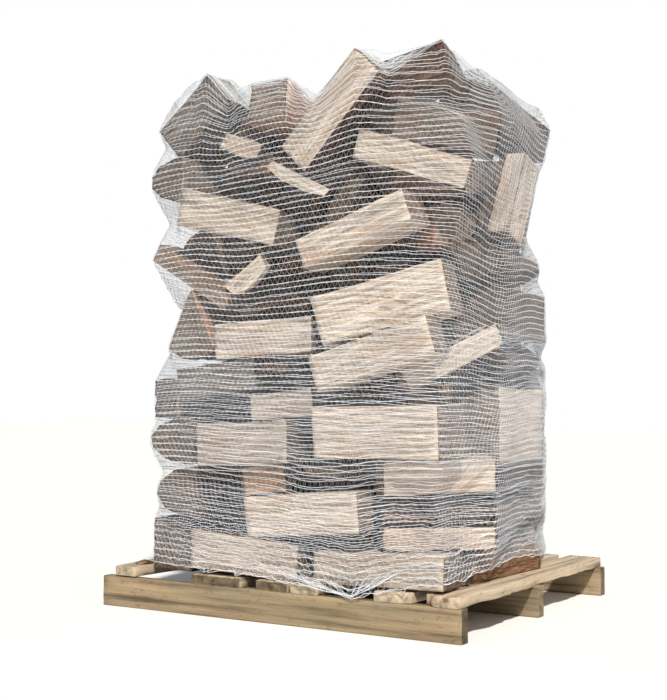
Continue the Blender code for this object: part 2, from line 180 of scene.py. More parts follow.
class NetSettings(bpy.types.PropertyGroup):
    """Sizes and colours of the net."""

    chain_diameter: bpy.props.FloatProperty(
        name="Chain", description="Diameter of the knitted chains that run round the load",
        default=0.00135, min=0.0005, max=0.006, unit="LENGTH",
    )
    stitch_diameter: bpy.props.FloatProperty(
        name="Stitch", description="Diameter of the yarn that zigzags between the chains",
        default=0.00052, min=0.0003, max=0.004, unit="LENGTH",
    )
    clearance: bpy.props.FloatProperty(
        name="Clearance", description="Room between the logs and the inner turn",
        default=0.004, min=0.0, max=0.02, unit="LENGTH",
    )
    yarn_colour: bpy.props.FloatVectorProperty(
        name="Yarn", description="Colour of the net", subtype="COLOR",
        default=(0.86, 0.89, 0.94), min=0.0, max=1.0,
    )


class StudioSettings(bpy.types.PropertyGroup):
    """The floor, the lights and the camera."""

    floor_colour: bpy.props.FloatVectorProperty(
        name="Floor", description="Colour of the floor", subtype="COLOR",
        default=(0.88, 0.88, 0.88), min=0.0, max=1.0,
    )
    key_power: bpy.props.FloatProperty(
        name="Key light", description="Strength of the light from the front right",
        default=4.3, min=0.0, max=20.0,
    )
    key_turn: bpy.props.FloatProperty(
        name="Key turn", description="How far round to the right the key light stands, in degrees",
        default=40.0, min=-180.0, max=180.0,
    )
    key_rise: bpy.props.FloatProperty(
        name="Key rise", description="How high the key light stands, in degrees",
        default=48.0, min=0.0, max=90.0,
    )
    fill: bpy.props.FloatProperty(
        name="Fill", description="Strength of the light from all around",
        default=0.28, min=0.0, max=5.0, subtype="FACTOR",
    )
    lens: bpy.props.FloatProperty(
        name="Lens", description="Focal length of the camera, in millimetres",
        default=67.44, min=10.0, max=300.0, subtype="DISTANCE_CAMERA",
    )


# Shader helpers


def put(tree, kind, feeds=None, **settings):
    """Add a shader node, set it up, and feed its inputs from sockets or values."""
    made = tree.nodes.new(kind)
    for key, value in settings.items():
        setattr(made, key, value)
    for key, value in (feeds or {}).items():
        if isinstance(value, bpy.types.NodeSocket):
            tree.links.new(value, made.inputs[key])
        else:
            made.inputs[key].default_value = value
    return made


def maths(tree, operation, *feeds):
    made = put(tree, "ShaderNodeMath", dict(enumerate(feeds)), operation=operation)
    return made.outputs[0]


def ramp(tree, level, stops):
    """Turn a level into the colours of the stops, from the lowest stop up."""
    made = put(tree, "ShaderNodeValToRGB", {0: level})
    elements = made.color_ramp.elements
    elements[0].position, elements[1].position = stops[0][0], stops[-1][0]
    for place, _ in stops[1:-1]:
        elements.new(place)
    for element, (_, colour) in zip(elements, stops):
        element.color = (*colour, 1.0)
    return made.outputs[0]


def blend(tree, share, first, second, how="MIX"):
    """Mix two colours, each a socket or a plain colour."""
    pair = [c if isinstance(c, bpy.types.NodeSocket) else (*c, 1.0) for c in (first, second)]
    made = put(
        tree, "ShaderNodeMix", {0: share, 6: pair[0], 7: pair[1]}, data_type="RGBA", blend_type=how
    )
    return made.outputs[2]


def stretched(tree, vector, by):
    """A vector with each of its parts multiplied by its own factor."""
    return put(tree, "ShaderNodeVectorMath", {0: vector, 1: by}, operation="MULTIPLY").outputs[0]


def speckle(tree, vector, stretch, detail=4.0, roughness=0.6):
    """Noise whose waves per metre differ along the three axes."""
    drawn = stretched(tree, vector, stretch)
    feeds = {"Vector": drawn, "Scale": 1.0, "Detail": detail, "Roughness": roughness}
    return put(tree, "ShaderNodeTexNoise", feeds).outputs[0]


def spread(tree, level, low, high, bottom=0.0, top=1.0):
    feeds = {0: level, 1: low, 2: high, 3: bottom, 4: top}
    return put(tree, "ShaderNodeMapRange", feeds).outputs[0]


def dimmed(tree, colour, level):
    """A colour made darker or lighter by a level."""
    grey = put(tree, "ShaderNodeCombineXYZ", {0: level, 1: level, 2: level}).outputs[0]
    return blend(tree, 1.0, colour, grey, "MULTIPLY")


def add_group(tree, name, feeds):
    """Use one of the shader groups below, with its inputs fed."""
    return put(tree, "ShaderNodeGroup", feeds, node_tree=bpy.data.node_groups[name])


def start_group(name, takes, gives):
    """A new shader group with its named sockets, and its two end nodes."""
    group = bpy.data.node_groups.new(name, "ShaderNodeTree")
    for label, kind in takes:
        group.interface.new_socket(label, in_out="INPUT", socket_type=kind)
    for label, kind in gives:
        group.interface.new_socket(label, in_out="OUTPUT", socket_type=kind)
    return group, group.nodes.new("NodeGroupInput"), group.nodes.new("NodeGroupOutput")


VECTOR, LEVEL, COLOUR = "NodeSocketVector", "NodeSocketFloat", "NodeSocketColor"


def fibre_group():
    """Wood fibres along the first axis: broad streaks, hairs, and a torn height."""
    takes = (("Grain", VECTOR), ("Along", LEVEL), ("Across", LEVEL))
    gives = (("Streaks", LEVEL), ("Hairs", LEVEL), ("Height", LEVEL))
    group, start, end = start_group("wood_fibres", takes, gives)
    grain, along, across = start.outputs[0], start.outputs[1], start.outputs[2]
    wide = put(group, "ShaderNodeCombineXYZ", {0: along, 1: across, 2: across}).outputs[0]
    streaks = speckle(group, grain, wide, 5.0, 0.62)
    hairs = speckle(group, grain, stretched(group, wide, (4.0, 7.0, 7.0)), 3.0, 0.7)
    broad, narrow = maths(group, "MULTIPLY", streaks, 0.75), maths(group, "MULTIPLY", hairs, 0.25)
    height = maths(group, "ADD", broad, narrow)
    for socket, value in zip(end.inputs, (streaks, hairs, height)):
        group.links.new(value, socket)
    return group


def ageing_group():
    """Brightens or darkens a colour by the log's own tone, and lays patches on it."""
    takes = (
        ("Colour", COLOUR), ("Grain", VECTOR), ("Tone", LEVEL), ("Warmth", LEVEL),
        ("Patch", COLOUR), ("Patches", LEVEL),
    )
    group, start, end = start_group("ageing", takes, (("Colour", COLOUR),))
    colour, grain, tone, warmth, patch, patches = [start.outputs[k] for k in range(6)]
    cloud = speckle(group, grain, (5.0, 16.0, 16.0), 4.0, 0.6)
    where = maths(group, "MULTIPLY", spread(group, cloud, 0.48, 0.68), patches)
    stained = blend(group, where, colour, patch)
    browned = blend(group, 1.0, stained, (1.0, 0.60, 0.35), "MULTIPLY")
    stained = blend(group, warmth, stained, browned)
    shade = spread(group, tone, 0.0, 1.0, 0.45, 1.12)
    group.links.new(dimmed(group, stained, shade), end.inputs[0])
    return group


def start_material(name, roughness):
    material = bpy.data.materials.new(name)
    material.use_nodes = True
    shader = material.node_tree.nodes["Principled BSDF"]
    shader.inputs["Roughness"].default_value = roughness
    shader.inputs["Specular IOR Level"].default_value = 0.25
    return material, material.node_tree, shader


def finish_material(tree, shader, colour, height, depth, strength=1.0):
    bump = put(tree, "ShaderNodeBump", {"Strength": strength, "Distance": depth, "Height": height})
    tree.links.new(colour, shader.inputs["Base Color"])
    tree.links.new(bump.outputs[0], shader.inputs["Normal"])


def attribute(tree, name, output):
    return put(tree, "ShaderNodeAttribute", attribute_name=name).outputs[output]


def own_tone(tree, low, high):
    """A level that follows the piece's own tone."""
    return spread(tree, attribute(tree, "tone", "Fac"), 0.0, 1.0, low, high)


def shade_of(colour, share):
    return tuple(min(1.0, c * share) for c in colour)


def fibre_material(name, colour, patch, patches, along, across, dark, roughness):
    """Split, greyed or sawn wood: streaks along the grain, stains and fine hairs."""
    material, tree, shader = start_material(name, roughness)
    grain = attribute(tree, "grain", "Vector")
    feeds = {"Grain": grain, "Along": along, "Across": across}
    fibres = add_group(tree, "wood_fibres", feeds).outputs
    stops = (
        (0.30, shade_of(colour, dark)),
        (0.46, shade_of(colour, (1 + dark) / 2)),
        (0.60, colour),
        (0.78, shade_of(colour, 1.16)),
    )
    base = ramp(tree, fibres["Streaks"], stops)
    base = dimmed(tree, base, spread(tree, fibres["Hairs"], 0.34, 0.58, 0.50, 1.10))
    aged = add_group(tree, "ageing", {
        "Colour": base, "Grain": grain, "Patch": (*patch, 1.0), "Patches": patches,
        "Tone": attribute(tree, "tone", "Fac"), "Warmth": attribute(tree, "warmth", "Fac"),
    })
    finish_material(tree, shader, aged.outputs[0], fibres["Height"], 0.004, 0.8)
    return material


def bark_material(colour):
    """Bark in long plates, with dark cracks and red-brown places where it flaked off."""
    material, tree, shader = start_material("ridged_bark", 0.93)
    grain = attribute(tree, "grain", "Vector")
    wander = stretched(tree, grain, (8.0, 62.0, 62.0))
    bend = put(tree, "ShaderNodeTexNoise", {"Vector": wander, "Scale": 0.8, "Detail": 3.0})
    moved = put(tree, "ShaderNodeVectorMath", {0: wander, 1: bend.outputs[1]}, operation="ADD")
    feeds = {"Vector": moved.outputs[0], "Scale": 1.0}
    cells = put(tree, "ShaderNodeTexVoronoi", feeds, feature="DISTANCE_TO_EDGE")
    plates = spread(tree, cells.outputs["Distance"], 0.0, 0.16)
    rough = speckle(tree, grain, (60.0, 160.0, 160.0), 5.0, 0.65)
    stops = ((0.0, 0.30), (0.35, 0.85), (1.0, 1.45))
    base = ramp(tree, plates, [(place, shade_of(colour, share)) for place, share in stops])
    tint = ramp(tree, rough, ((0.3, (0.55, 0.55, 0.60)), (0.7, (1.35, 1.2, 1.1))))
    base = blend(tree, 1.0, base, tint, "MULTIPLY")
    flaked = spread(tree, speckle(tree, grain, (9.0, 26.0, 26.0), 3.0, 0.5), 0.56, 0.68)
    flaked = maths(tree, "MAXIMUM", flaked, attribute(tree, "warmth", "Fac"))
    under = blend(tree, rough, (0.14, 0.062, 0.035), (0.44, 0.25, 0.14))
    base = dimmed(tree, blend(tree, flaked, base, under), own_tone(tree, 0.7, 1.5))
    height = maths(tree, "ADD", plates, maths(tree, "MULTIPLY", rough, 0.6))
    finish_material(tree, shader, base, height, 0.006, 1.0)
    return material


def sawn_material(colour):
    """End grain: rings round the pith, cracks that run out from it, and saw marks."""
    material, tree, shader = start_material("sawn_end", 0.9)
    grain = attribute(tree, "grain", "Vector")
    parts = put(tree, "ShaderNodeSeparateXYZ", {0: grain}).outputs
    flat = put(tree, "ShaderNodeCombineXYZ", {0: 0.0, 1: parts[1], 2: parts[2]}).outputs[0]
    length = put(tree, "ShaderNodeVectorMath", {0: flat}, operation="LENGTH").outputs["Value"]
    wobble = maths(tree, "MULTIPLY", speckle(tree, grain, (0.0, 30.0, 30.0), 2.0, 0.5), 0.012)
    rings = maths(tree, "SINE", maths(tree, "MULTIPLY", maths(tree, "ADD", length, wobble), 1500.0))
    angle = maths(tree, "ARCTAN2", parts[1], parts[2])
    turned = maths(tree, "MULTIPLY", angle, 9.0)
    rays = put(tree, "ShaderNodeCombineXYZ", {0: turned, 1: length, 2: parts[0]}).outputs[0]
    feeds = {"Vector": rays, "Scale": 1.0, "Detail": 3.0}
    cracks = put(tree, "ShaderNodeTexNoise", feeds).outputs[0]
    dust = speckle(tree, grain, (0.0, 45.0, 45.0), 5.0, 0.65)
    stops = ((0.28, shade_of(colour, 0.45)), (0.5, colour), (0.72, shade_of(colour, 1.55)))
    banded = spread(tree, rings, -1.0, 1.0, 0.82, 1.08)
    split = spread(tree, cracks, 0.30, 0.40, 0.35, 1.0)
    level = maths(tree, "MULTIPLY", banded, split)
    level = maths(tree, "MULTIPLY", level, own_tone(tree, 0.6, 1.3))
    base = dimmed(tree, ramp(tree, dust, stops), level)
    ridges = maths(tree, "MULTIPLY", rings, 0.15)
    height = maths(tree, "ADD", ridges, maths(tree, "ADD", dust, split))
    finish_material(tree, shader, base, height, 0.002, 0.7)
    return material


def timber_material(colour):
    """Sawn pallet timber: flat grain, knots, specks of dirt and saw marks."""
    material, tree, shader = start_material("sawn_timber", 0.82)
    grain = attribute(tree, "grain", "Vector")
    feeds = {"Grain": grain, "Along": 1.6, "Across": 42.0}
    fibres = add_group(tree, "wood_fibres", feeds).outputs
    stops = ((0.36, 0.34), (0.49, 0.92), (0.66, 1.32))
    shades = [(place, shade_of(colour, share)) for place, share in stops]
    base = ramp(tree, fibres["Streaks"], shades)
    feeds = {"Vector": stretched(tree, grain, (5.5, 13.0, 13.0)), "Scale": 1.0}
    knots = put(tree, "ShaderNodeTexVoronoi", feeds).outputs["Distance"]
    base = blend(tree, spread(tree, knots, 0.13, 0.04), base, shade_of(colour, 0.30))
    dirt = speckle(tree, grain, (30.0, 70.0, 70.0), 6.0, 0.72)
    specks = speckle(tree, grain, (160.0, 240.0, 240.0), 2.0, 0.5)
    cloud = speckle(tree, grain, (3.0, 9.0, 9.0), 3.0, 0.5)
    stains = (
        (dirt, 0.56, 0.69, 0.65, (0.10, 0.085, 0.06)),
        (specks, 0.68, 0.74, 0.8, (0.06, 0.045, 0.03)),
        (cloud, 0.45, 0.7, 0.55, (0.34, 0.29, 0.19)),
    )
    for level, low, high, most, tint in stains:
        base = blend(tree, spread(tree, level, low, high, 0.0, most), base, tint)
    tone = attribute(tree, "tone", "Fac")
    bleached = ramp(tree, tone, ((0.25, (1.0, 1.0, 1.0)), (0.9, (1.16, 1.24, 1.48))))
    base = blend(tree, 1.0, base, bleached, "MULTIPLY")
    base = dimmed(tree, base, spread(tree, tone, -1.0, 1.0, 0.10, 1.22))
    marks = maths(tree, "ADD", fibres["Height"], maths(tree, "MULTIPLY", dirt, 0.5))
    finish_material(tree, shader, base, marks, 0.002, 0.8)
    return material


def yarn_material(colour):
    """Net yarn: pale plastic, a little dusty in places."""
    material, tree, shader = start_material("knitted_yarn", 0.42)
    place = put(tree, "ShaderNodeTexCoord").outputs["Object"]
    dust = speckle(tree, place, (9.0, 9.0, 14.0), 4.0, 0.6)
    stops = ((0.3, shade_of(colour, 0.80)), (0.5, colour), (0.7, shade_of(colour, 1.05)))
    base = ramp(tree, dust, stops)
    hairs = speckle(tree, place, (900.0, 900.0, 900.0), 2.0, 0.5)
    finish_material(tree, shader, base, hairs, 0.0004, 0.4)
    return material


def metal_material():
    """Nail heads: dull zinc with spots of rust."""
    material, tree, shader = start_material("nail_steel", 0.5)
    place = put(tree, "ShaderNodeTexCoord").outputs["Object"]
    rust = speckle(tree, place, (260.0, 260.0, 260.0), 4.0, 0.6)
    shader.inputs["Metallic"].default_value = 0.9
    base = ramp(tree, rust, (
        (0.35, (0.30, 0.30, 0.30)), (0.55, (0.22, 0.17, 0.13)), (0.75, (0.16, 0.07, 0.03)),
    ))
    finish_material(tree, shader, base, rust, 0.0006, 0.5)
    return material


def floor_material(colour):
    material, _, shader = start_material("floor", 0.7)
    shader.inputs["Base Color"].default_value = (*colour, 1.0)
    return material


def log_materials():
    """The finishes of the logs, in the order of SPLIT, BARK, SAWN and GREY."""
    names = ("torn_grain", "ridged_bark", "sawn_end", "greyed_grain")
    if names[0] not in bpy.data.materials:
        settings = bpy.context.scene.firewood_logs
        fibre_group()
        ageing_group()
        fibre_material(
            names[0], tuple(settings.split_colour), patch=(0.48, 0.30, 0.185), patches=0.60,
            along=7.0, across=95.0, dark=0.42, roughness=0.8,
        )
        bark_material(tuple(settings.bark_colour_and_shade))
        sawn_material(tuple(settings.sawn_colour_and_shade))
        fibre_material(
            names[3], tuple(settings.grey_colour), patch=(0.19, 0.115, 0.07), patches=0.95,
            along=7.0, across=75.0, dark=0.35, roughness=0.9,
        )
    return [bpy.data.materials[name] for name in names]


# Pieces


def hand_over(name, bm, materials, nodes=()):
    """Make a piece of a bmesh, which rides on the load and stands for the named nodes."""
    mesh = bpy.data.meshes.new(name)
    bm.to_mesh(mesh)
    bm.free()
    piece = bpy.data.objects.new(name, mesh)
    bpy.context.scene.collection.objects.link(piece)
    for material in materials:
        mesh.materials.append(material)
    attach(piece, "root")
    if nodes:
        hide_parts(*nodes)
    return piece


def grows(corners, normals, offsets, face):
    """Whether a face belongs to the same convex log as the faces found so far."""
    plane = np.array(face.normal)
    offset = plane @ np.array(face.verts[0].co)
    if (np.array(corners) @ plane).max() > offset + ON_FACE:
        return False
    own = np.array([v.co for v in face.verts])
    reach = (own @ np.array(normals).T).max(axis=0)
    return bool((reach <= np.array(offsets) + ON_FACE).all())


def whole_logs(node):
    """The convex logs in a node's solid, each as the list of its faces."""
    bm = bmesh.new()
    bm.from_mesh(node.data)
    bmesh.ops.remove_doubles(bm, verts=bm.verts, dist=SAME_POINT)
    bm.normal_update()
    logs = []
    for first in bm.faces:
        if first.tag:
            continue
        first.tag = True
        faces, waiting = [first], [first]
        corners = [v.co[:] for v in first.verts]
        normals, offsets = [first.normal[:]], [first.normal @ first.verts[0].co]
        while waiting:
            for edge in waiting.pop().edges:
                if len(edge.link_faces) < 2 or edge.calc_face_angle_signed(0.0) < FOLDED_IN:
                    continue
                for face in edge.link_faces:
                    if face.tag or not grows(corners, normals, offsets, face):
                        continue
                    face.tag = True
                    faces.append(face)
                    waiting.append(face)
                    corners.extend(v.co[:] for v in face.verts)
                    normals.append(face.normal[:])
                    offsets.append(face.normal @ face.verts[0].co)
        if sum(f.calc_area() for f in faces) > LEAST_SURFACE:
            logs.append(faces)
    return bm, logs


def log_axes(faces):
    """The log's own axes: X along the grain, and Z as near upright as it goes."""
    edges = {e.index: e for f in faces for e in f.edges}
    edges = [edges[k] for k in sorted(edges) if abs(edges[k].calc_face_angle_signed(0.0)) > 0.05]
    runs = [edge.verts[1].co - edge.verts[0].co for edge in edges]
    longest = max(runs, key=lambda run: run.length)
    along = Vector()
    for run in runs:
        level = abs(run.normalized() @ longest.normalized()) > 0.95
        if level and run.length > 0.85 * longest.length:
            along += run if run @ longest > 0 else -run
    along.normalize()
    if along.x + 0.5 * along.y < 0:
        along.negate()
    up = (UP - along * along.z).normalized() if abs(along.z) < 0.95 else Vector((1, 0, 0))
    up = (up - along * (up @ along)).normalized()
    return Matrix((along, up.cross(along), up)).transposed()


def slice_at(bm, point, normal, **options):
    """Part the faces along a plane."""
    geometry = bm.verts[:] + bm.edges[:] + bm.faces[:]
    return bmesh.ops.bisect_plane(
        bm, geom=geometry, dist=ON_CUT, plane_co=point, plane_no=normal, **options
    )


def cut(bm, point, normal):
    """Cut off what lies past a plane, and close the cut with a flat face."""
    made = slice_at(bm, point, normal, clear_outer=True)
    rim = [e for e in made["geom_cut"] if isinstance(e, bmesh.types.BMEdge)]
    if rim:
        bmesh.ops.edgeloop_fill(bm, edges=rim)


def clean_log(faces):
    """The log as one convex body in its own axes, and the matrix that places it."""
    axes = log_axes(faces)
    corners = np.array([v.co for f in faces for v in f.verts]) @ np.array(axes)
    low, high = corners.min(axis=0), corners.max(axis=0)
    middle = (low + high) / 2
    size = high - low + 0.02
    bm = bmesh.new()
    bmesh.ops.create_cube(bm, size=1.0)
    bmesh.ops.scale(bm, verts=bm.verts, vec=size)
    for face in sorted(faces, key=lambda f: (-f.calc_area(), f.index)):
        normal = axes.transposed() @ face.normal
        point = axes.transposed() @ face.verts[0].co - Vector(middle)
        if max((v.co - point) @ normal for v in bm.verts) > ON_FACE:
            cut(bm, point, normal)
    bmesh.ops.remove_doubles(bm, verts=bm.verts, dist=NEAR_POINT)
    bmesh.ops.dissolve_degenerate(bm, edges=bm.edges, dist=NEAR_POINT)
    bmesh.ops.recalc_face_normals(bm, faces=bm.faces)
    place = axes.to_4x4()
    place.translation = axes @ Vector(middle)
    return bm, place


def mark_faces(bm, place, finish):
    """Give each face of a clean log its finish, and find the middle of the tree."""
    bm.normal_update()
    wide = {f: f.calc_area() for f in bm.faces if abs(f.normal.x) < END_FACING}
    widest = max(wide.values())
    outwards = Vector((place.translation.x, place.translation.y, 0))
    front = 1 if (place.to_3x3() @ Vector((0, 1, 0))) @ outwards > 0 else -1
    pith = Vector()
    for face in bm.faces:
        if face not in wide:
            face.material_index = SAWN
            continue
        torn = wide[face] > TORN_WIDTH * widest
        face.material_index = (GREY if finish == GREY else SPLIT) if torn else BARK
        if not torn:
            pith -= face.normal * wide[face] / widest
        if face.normal.y * front > OUT_FACING:
            face.material_index = finish
    reach = max(v.co.yz.length for v in bm.verts)
    return pith.normalized() * reach * PITH_DEPTH if pith.length > 0.3 else Vector()


def refine(bm, limit):
    """Split the edges that run across the grain until none is longer than the limit."""
    for _ in range(6):
        long = []
        for edge in bm.edges:
            run = edge.verts[1].co - edge.verts[0].co
            if run.length > limit and abs(run.x) < 0.6 * run.length:
                long.append(edge)
        if not long:
            break
        bmesh.ops.subdivide_edges(bm, edges=long, cuts=1, use_grid_fill=True)


def frayed_ends(bm):
    """A narrow ring round each sawn end, dark where it borders on bark."""
    bm.normal_update()
    ends = [f for f in bm.faces if f.material_index == SAWN]
    made = bmesh.ops.inset_region(
        bm, faces=ends, thickness=FRAY, use_even_offset=True, use_boundary=True
    )
    for ring in made["faces"]:
        ring.material_index = SAWN
        for edge in ring.edges:
            for face in edge.link_faces:
                if face.material_index == BARK and abs(face.normal.x) < 0.5:
                    ring.material_index = BARK


def waves(place, along, across, shift):
    """Smooth noise, with its own number of waves per metre along and across the grain."""
    x, y, z = place
    return noise.noise(Vector((x * along, y * across, z * across)) + shift)


def roughen(bm, seed):
    """Move the surface as the axe, the saw and the bark would leave it."""
    settings = bpy.context.scene.firewood_logs
    shift = Vector((seed * 1.73, seed * 0.61, seed * 2.29))
    moves = []
    bm.normal_update()
    for vert in bm.verts:
        x = vert.co.x
        kinds = {f.material_index for f in vert.link_faces}
        ripple = waves(vert.co, 5, 34, shift) + 0.45 * waves(vert.co, 14, 90, -shift)
        step = waves(vert.co, 3, 14, shift * 2)
        if kinds == {SAWN}:
            move = Vector((0.0006 * ripple * (1 if x > 0 else -1), 0, 0))
        elif BARK in kinds:
            ridge = waves(vert.co, 17, 55, shift)
            lump = waves(vert.co, 9, 20, -shift)
            move = vert.normal * settings.bark_relief * (0.6 - 1.6 * abs(ridge) + 0.5 * lump)
        else:
            move = vert.normal * settings.grain_relief * (ripple + 0.9 * step - 0.2)
        if SAWN in kinds:
            move = Vector((0.0012 * ripple, move.y * 0.7, move.z * 0.7))
        bend = Vector((
            0,
            noise.noise(Vector((x * 4, 0.3, 0)) + shift),
            noise.noise(Vector((x * 4, 0.9, 0)) - shift),
        ))
        moves.append(move + bend * settings.bow)
    for vert, move in zip(bm.verts, moves):
        vert.co += move


def tag_grain(bm, pith, seed, tone, warm):
    """Store where each point lies in its log, for the patterns of the finishes."""
    grain = bm.verts.layers.float_vector.new("grain")
    light = bm.verts.layers.float.new("tone")
    warmth = bm.verts.layers.float.new("warmth")
    for vert in bm.verts:
        vert[grain] = vert.co - pith + Vector((seed * 0.83, 0, 0))
        vert[light] = tone
        vert[warmth] = warm


def dress_log(faces, finish, seed, tone, warm, slices, limit):
    """One rough log in its place, as a new bmesh."""
    draw = random.Random(seed)
    bm, place = clean_log(faces)
    pith = mark_faces(bm, place, finish)
    span = max(v.co.x for v in bm.verts)
    for k in range(1, slices):
        x = span * (2 * (k + draw.uniform(-0.25, 0.25)) / slices - 1)
        slice_at(bm, (x, 0, 0), (1, draw.uniform(-0.1, 0.1), draw.uniform(-0.1, 0.1)))
    refine(bm, limit)
    frayed_ends(bm)
    tag_grain(bm, pith, seed % 97, tone, warm)
    roughen(bm, seed % 97)
    for face in bm.faces:
        face.smooth = True
    bmesh.ops.transform(bm, matrix=place, verts=bm.verts)
    return bm


def number_of(name):
    """A fixed number for a name, the same each time."""
    return random.Random(name).randrange(1, 9000)


def add_to(whole, part):
    """Move the contents of one bmesh into another."""
    mesh = bpy.data.meshes.new("part")
    part.to_mesh(mesh)
    part.free()
    whole.from_mesh(mesh)
    bpy.data.meshes.remove(mesh)


def log_piece(name, slices, limit):
    """The detailed piece for a node of one or more logs."""
    slot = NODE_SLOT[name]
    solids, logs = whole_logs(frame["nodes"][name])
    whole = bmesh.new()
    whole.verts.layers.float_vector.new("grain")
    whole.verts.layers.float.new("tone")
    whole.verts.layers.float.new("warmth")
    for number, faces in enumerate(logs):
        seed = number_of(f"{name} {number}")
        draw = random.Random(seed)
        finish, tones = SLOT_FINISH[slot], OTHER_TONES
        if "inner" in name:
            finish, tones = draw.choice((BARK, GREY, SPLIT)), INNER_PAINTED_SHADE_TONES
        elif len(logs) > 1:
            finish = draw.choice((SPLIT, SPLIT, BARK, GREY))
        tone = LOG_TONES.get(name, draw.uniform(*tones))
        warm = LOG_WARMTH.get(name, draw.uniform(*INNER_WARMTH) if "inner" in name else 0.0)
        add_to(whole, dress_log(faces, finish, seed, tone, warm, slices, limit))
    solids.free()
    label = name.replace("logs", "stack") if len(logs) > 1 else name.replace("log", "firewood")
    return hand_over(label, whole, log_materials(), [name])


class FIREWOOD_OT_shown_logs(bpy.types.Operator):
    """Give each log on the outside of the load its split, barked and sawn faces"""

    bl_idname = "firewood.shown_logs"
    bl_label = "Shown Logs"

    def execute(self, context):
        for name in sorted(frame["nodes"]):
            if name.startswith("log_"):
                log_piece(name, *SHOWN_MESH)
        return {"FINISHED"}


class FIREWOOD_OT_bays(bpy.types.Operator):
    """Part the joined bays into their logs and give them the same finish"""

    bl_idname = "firewood.bays"
    bl_label = "Inner and Back Logs"

    def execute(self, context):
        for name in sorted(frame["nodes"]):
            if name.startswith("logs_"):
                log_piece(name, *(INNER_MESH if "inner" in name else BACK_MESH))
        return {"FINISHED"}


# Pallet

STRINGERS = ("stringer_front", "stringer_middle", "stringer_back")
# How much darker than its sides the ends of a board or a stringer are. For deck_board_2 and
# deck_board_3 the dark front ends are painted shadow, as if cast by the load over them
END_DARKNESS_AND_PAINTED_SHADOW = {
    "stringer_front": 0.85, "stringer_back": 0.70, "deck_board_2": 1.2, "deck_board_3": 1.2,
}
OTHER_END_SHADE = 0.15
# How light the timber is, along X for the stringers and along Y for the deck boards
BOARD_TONES = ((0.15, 0.35), (0.6, 1.0))
# The cells of a board's mesh along X, Y and Z, for stringers and for deck boards
BOARD_CELLS = ((0.03, 0.012, 0.012), (0.012, 0.03, 0.01))
BROKEN_EDGE = 0.002
# Where the nails sit across a board's width, and how far they stray
NAIL_SHARES = (0.27, 0.73)
NAIL_STRAY = (0.006, 0.008)


def sawn_board(low, high, lengthways):
    """A sawn board as a fine mesh of its box, with its edges broken."""
    bm = bmesh.new()
    bmesh.ops.create_cube(bm, size=1.0)
    bmesh.ops.scale(bm, verts=bm.verts, vec=high - low)
    bmesh.ops.translate(bm, verts=bm.verts, vec=(low + high) / 2)
    bmesh.ops.bevel(
        bm, geom=bm.edges[:], offset=BROKEN_EDGE, offset_type="OFFSET", affect="EDGES",
        segments=2, profile=0.5, material=-1,
    )
    for axis, step in enumerate(BOARD_CELLS[lengthways]):
        count = int((high[axis] - low[axis]) / step)
        normal = Vector([1.0 if k == axis else 0.0 for k in range(3)])
        for k in range(1, count):
            slice_at(bm, low + (high - low) * k / count, normal)
    return bm


def near(distance, reach):
    """One where the distance is nothing, falling to nothing at the reach."""
    return max(0.0, 1 - distance / reach)


def own_wear(name, over, back, share, y, wane):
    """How far the wear of one board alone moves a point, along X, Y and Z."""
    if name == "deck_board_6":
        edge = 0.5 + 0.8 * noise.noise(Vector((0.4, y * 7.5, 0.1)))
        rag = 0.35 * noise.noise(Vector((0.1, y * 26, 0.7)))
        notch = near(over, 0.030) * near(back, 0.024)
        return -wane * max(0.0, edge + rag) * share ** 3, 0.030 * min(1.0, 2.2 * notch), 0.0
    if name == "deck_board_1":
        return 0.035 * near(back, 0.16) * near(over, 0.05), 0.0, 0.004 * near(back, 0.2)
    if name == "deck_board_5":
        return 0.0, 0.05 * max(0.0, share - 0.62) * near(back, 0.06), 0.0
    return 0.0, 0.0, 0.0


def age_board(bm, name, low, high, lengthways, wane):
    """Saw marks and bruised edges on every board, and the wear of some boards alone."""
    seed = number_of(name) % 97
    shift = Vector((seed * 1.3, seed * 2.1, seed * 0.7))
    grain = bm.verts.layers.float_vector.new("grain")
    light = bm.verts.layers.float.new("tone")
    tone = random.Random(name).uniform(*BOARD_TONES[lengthways])
    # The ends of deck boards 2 and 3 get painted shadow here, on top of their darker end grain
    end_tone = tone - END_DARKNESS_AND_PAINTED_SHADOW.get(name, OTHER_END_SHADE)
    bm.normal_update()
    moves = []
    for vert in bm.verts:
        x, y, z = vert.co
        run, side = (x, y) if lengthways == 0 else (y, x)
        vert[grain] = (run + seed, side + seed * 0.31, z)
        vert[light] = end_tone if abs(vert.normal[lengthways]) > 0.9 else tone
        ripple = waves((run, side, z), 9, 70, shift)
        bruise = max(0.0, waves((run, side, z), 22, 22, -shift) - 0.25)
        on_edge = sum(abs(vert.normal[k]) > 0.3 for k in range(3)) > 1
        move = vert.normal * (0.0007 * ripple - (0.009 * bruise if on_edge else 0.0))
        share = (x - low.x) / (high.x - low.x)
        for k, wear in enumerate(own_wear(name, x - low.x, y - low.y, share, y, wane)):
            move[k] += wear
        moves.append(move)
    for vert, move in zip(bm.verts, moves):
        vert.co += move
    for face in bm.faces:
        face.smooth = True


def nail_head(place, diameter):
    """A round nail head, a little domed, sunk into the board."""
    bm = bmesh.new()
    bmesh.ops.create_cone(
        bm, cap_ends=True, segments=12, radius1=diameter / 2, radius2=diameter * 0.36,
        depth=0.0016, matrix=Matrix.Translation(place),
    )
    return bm


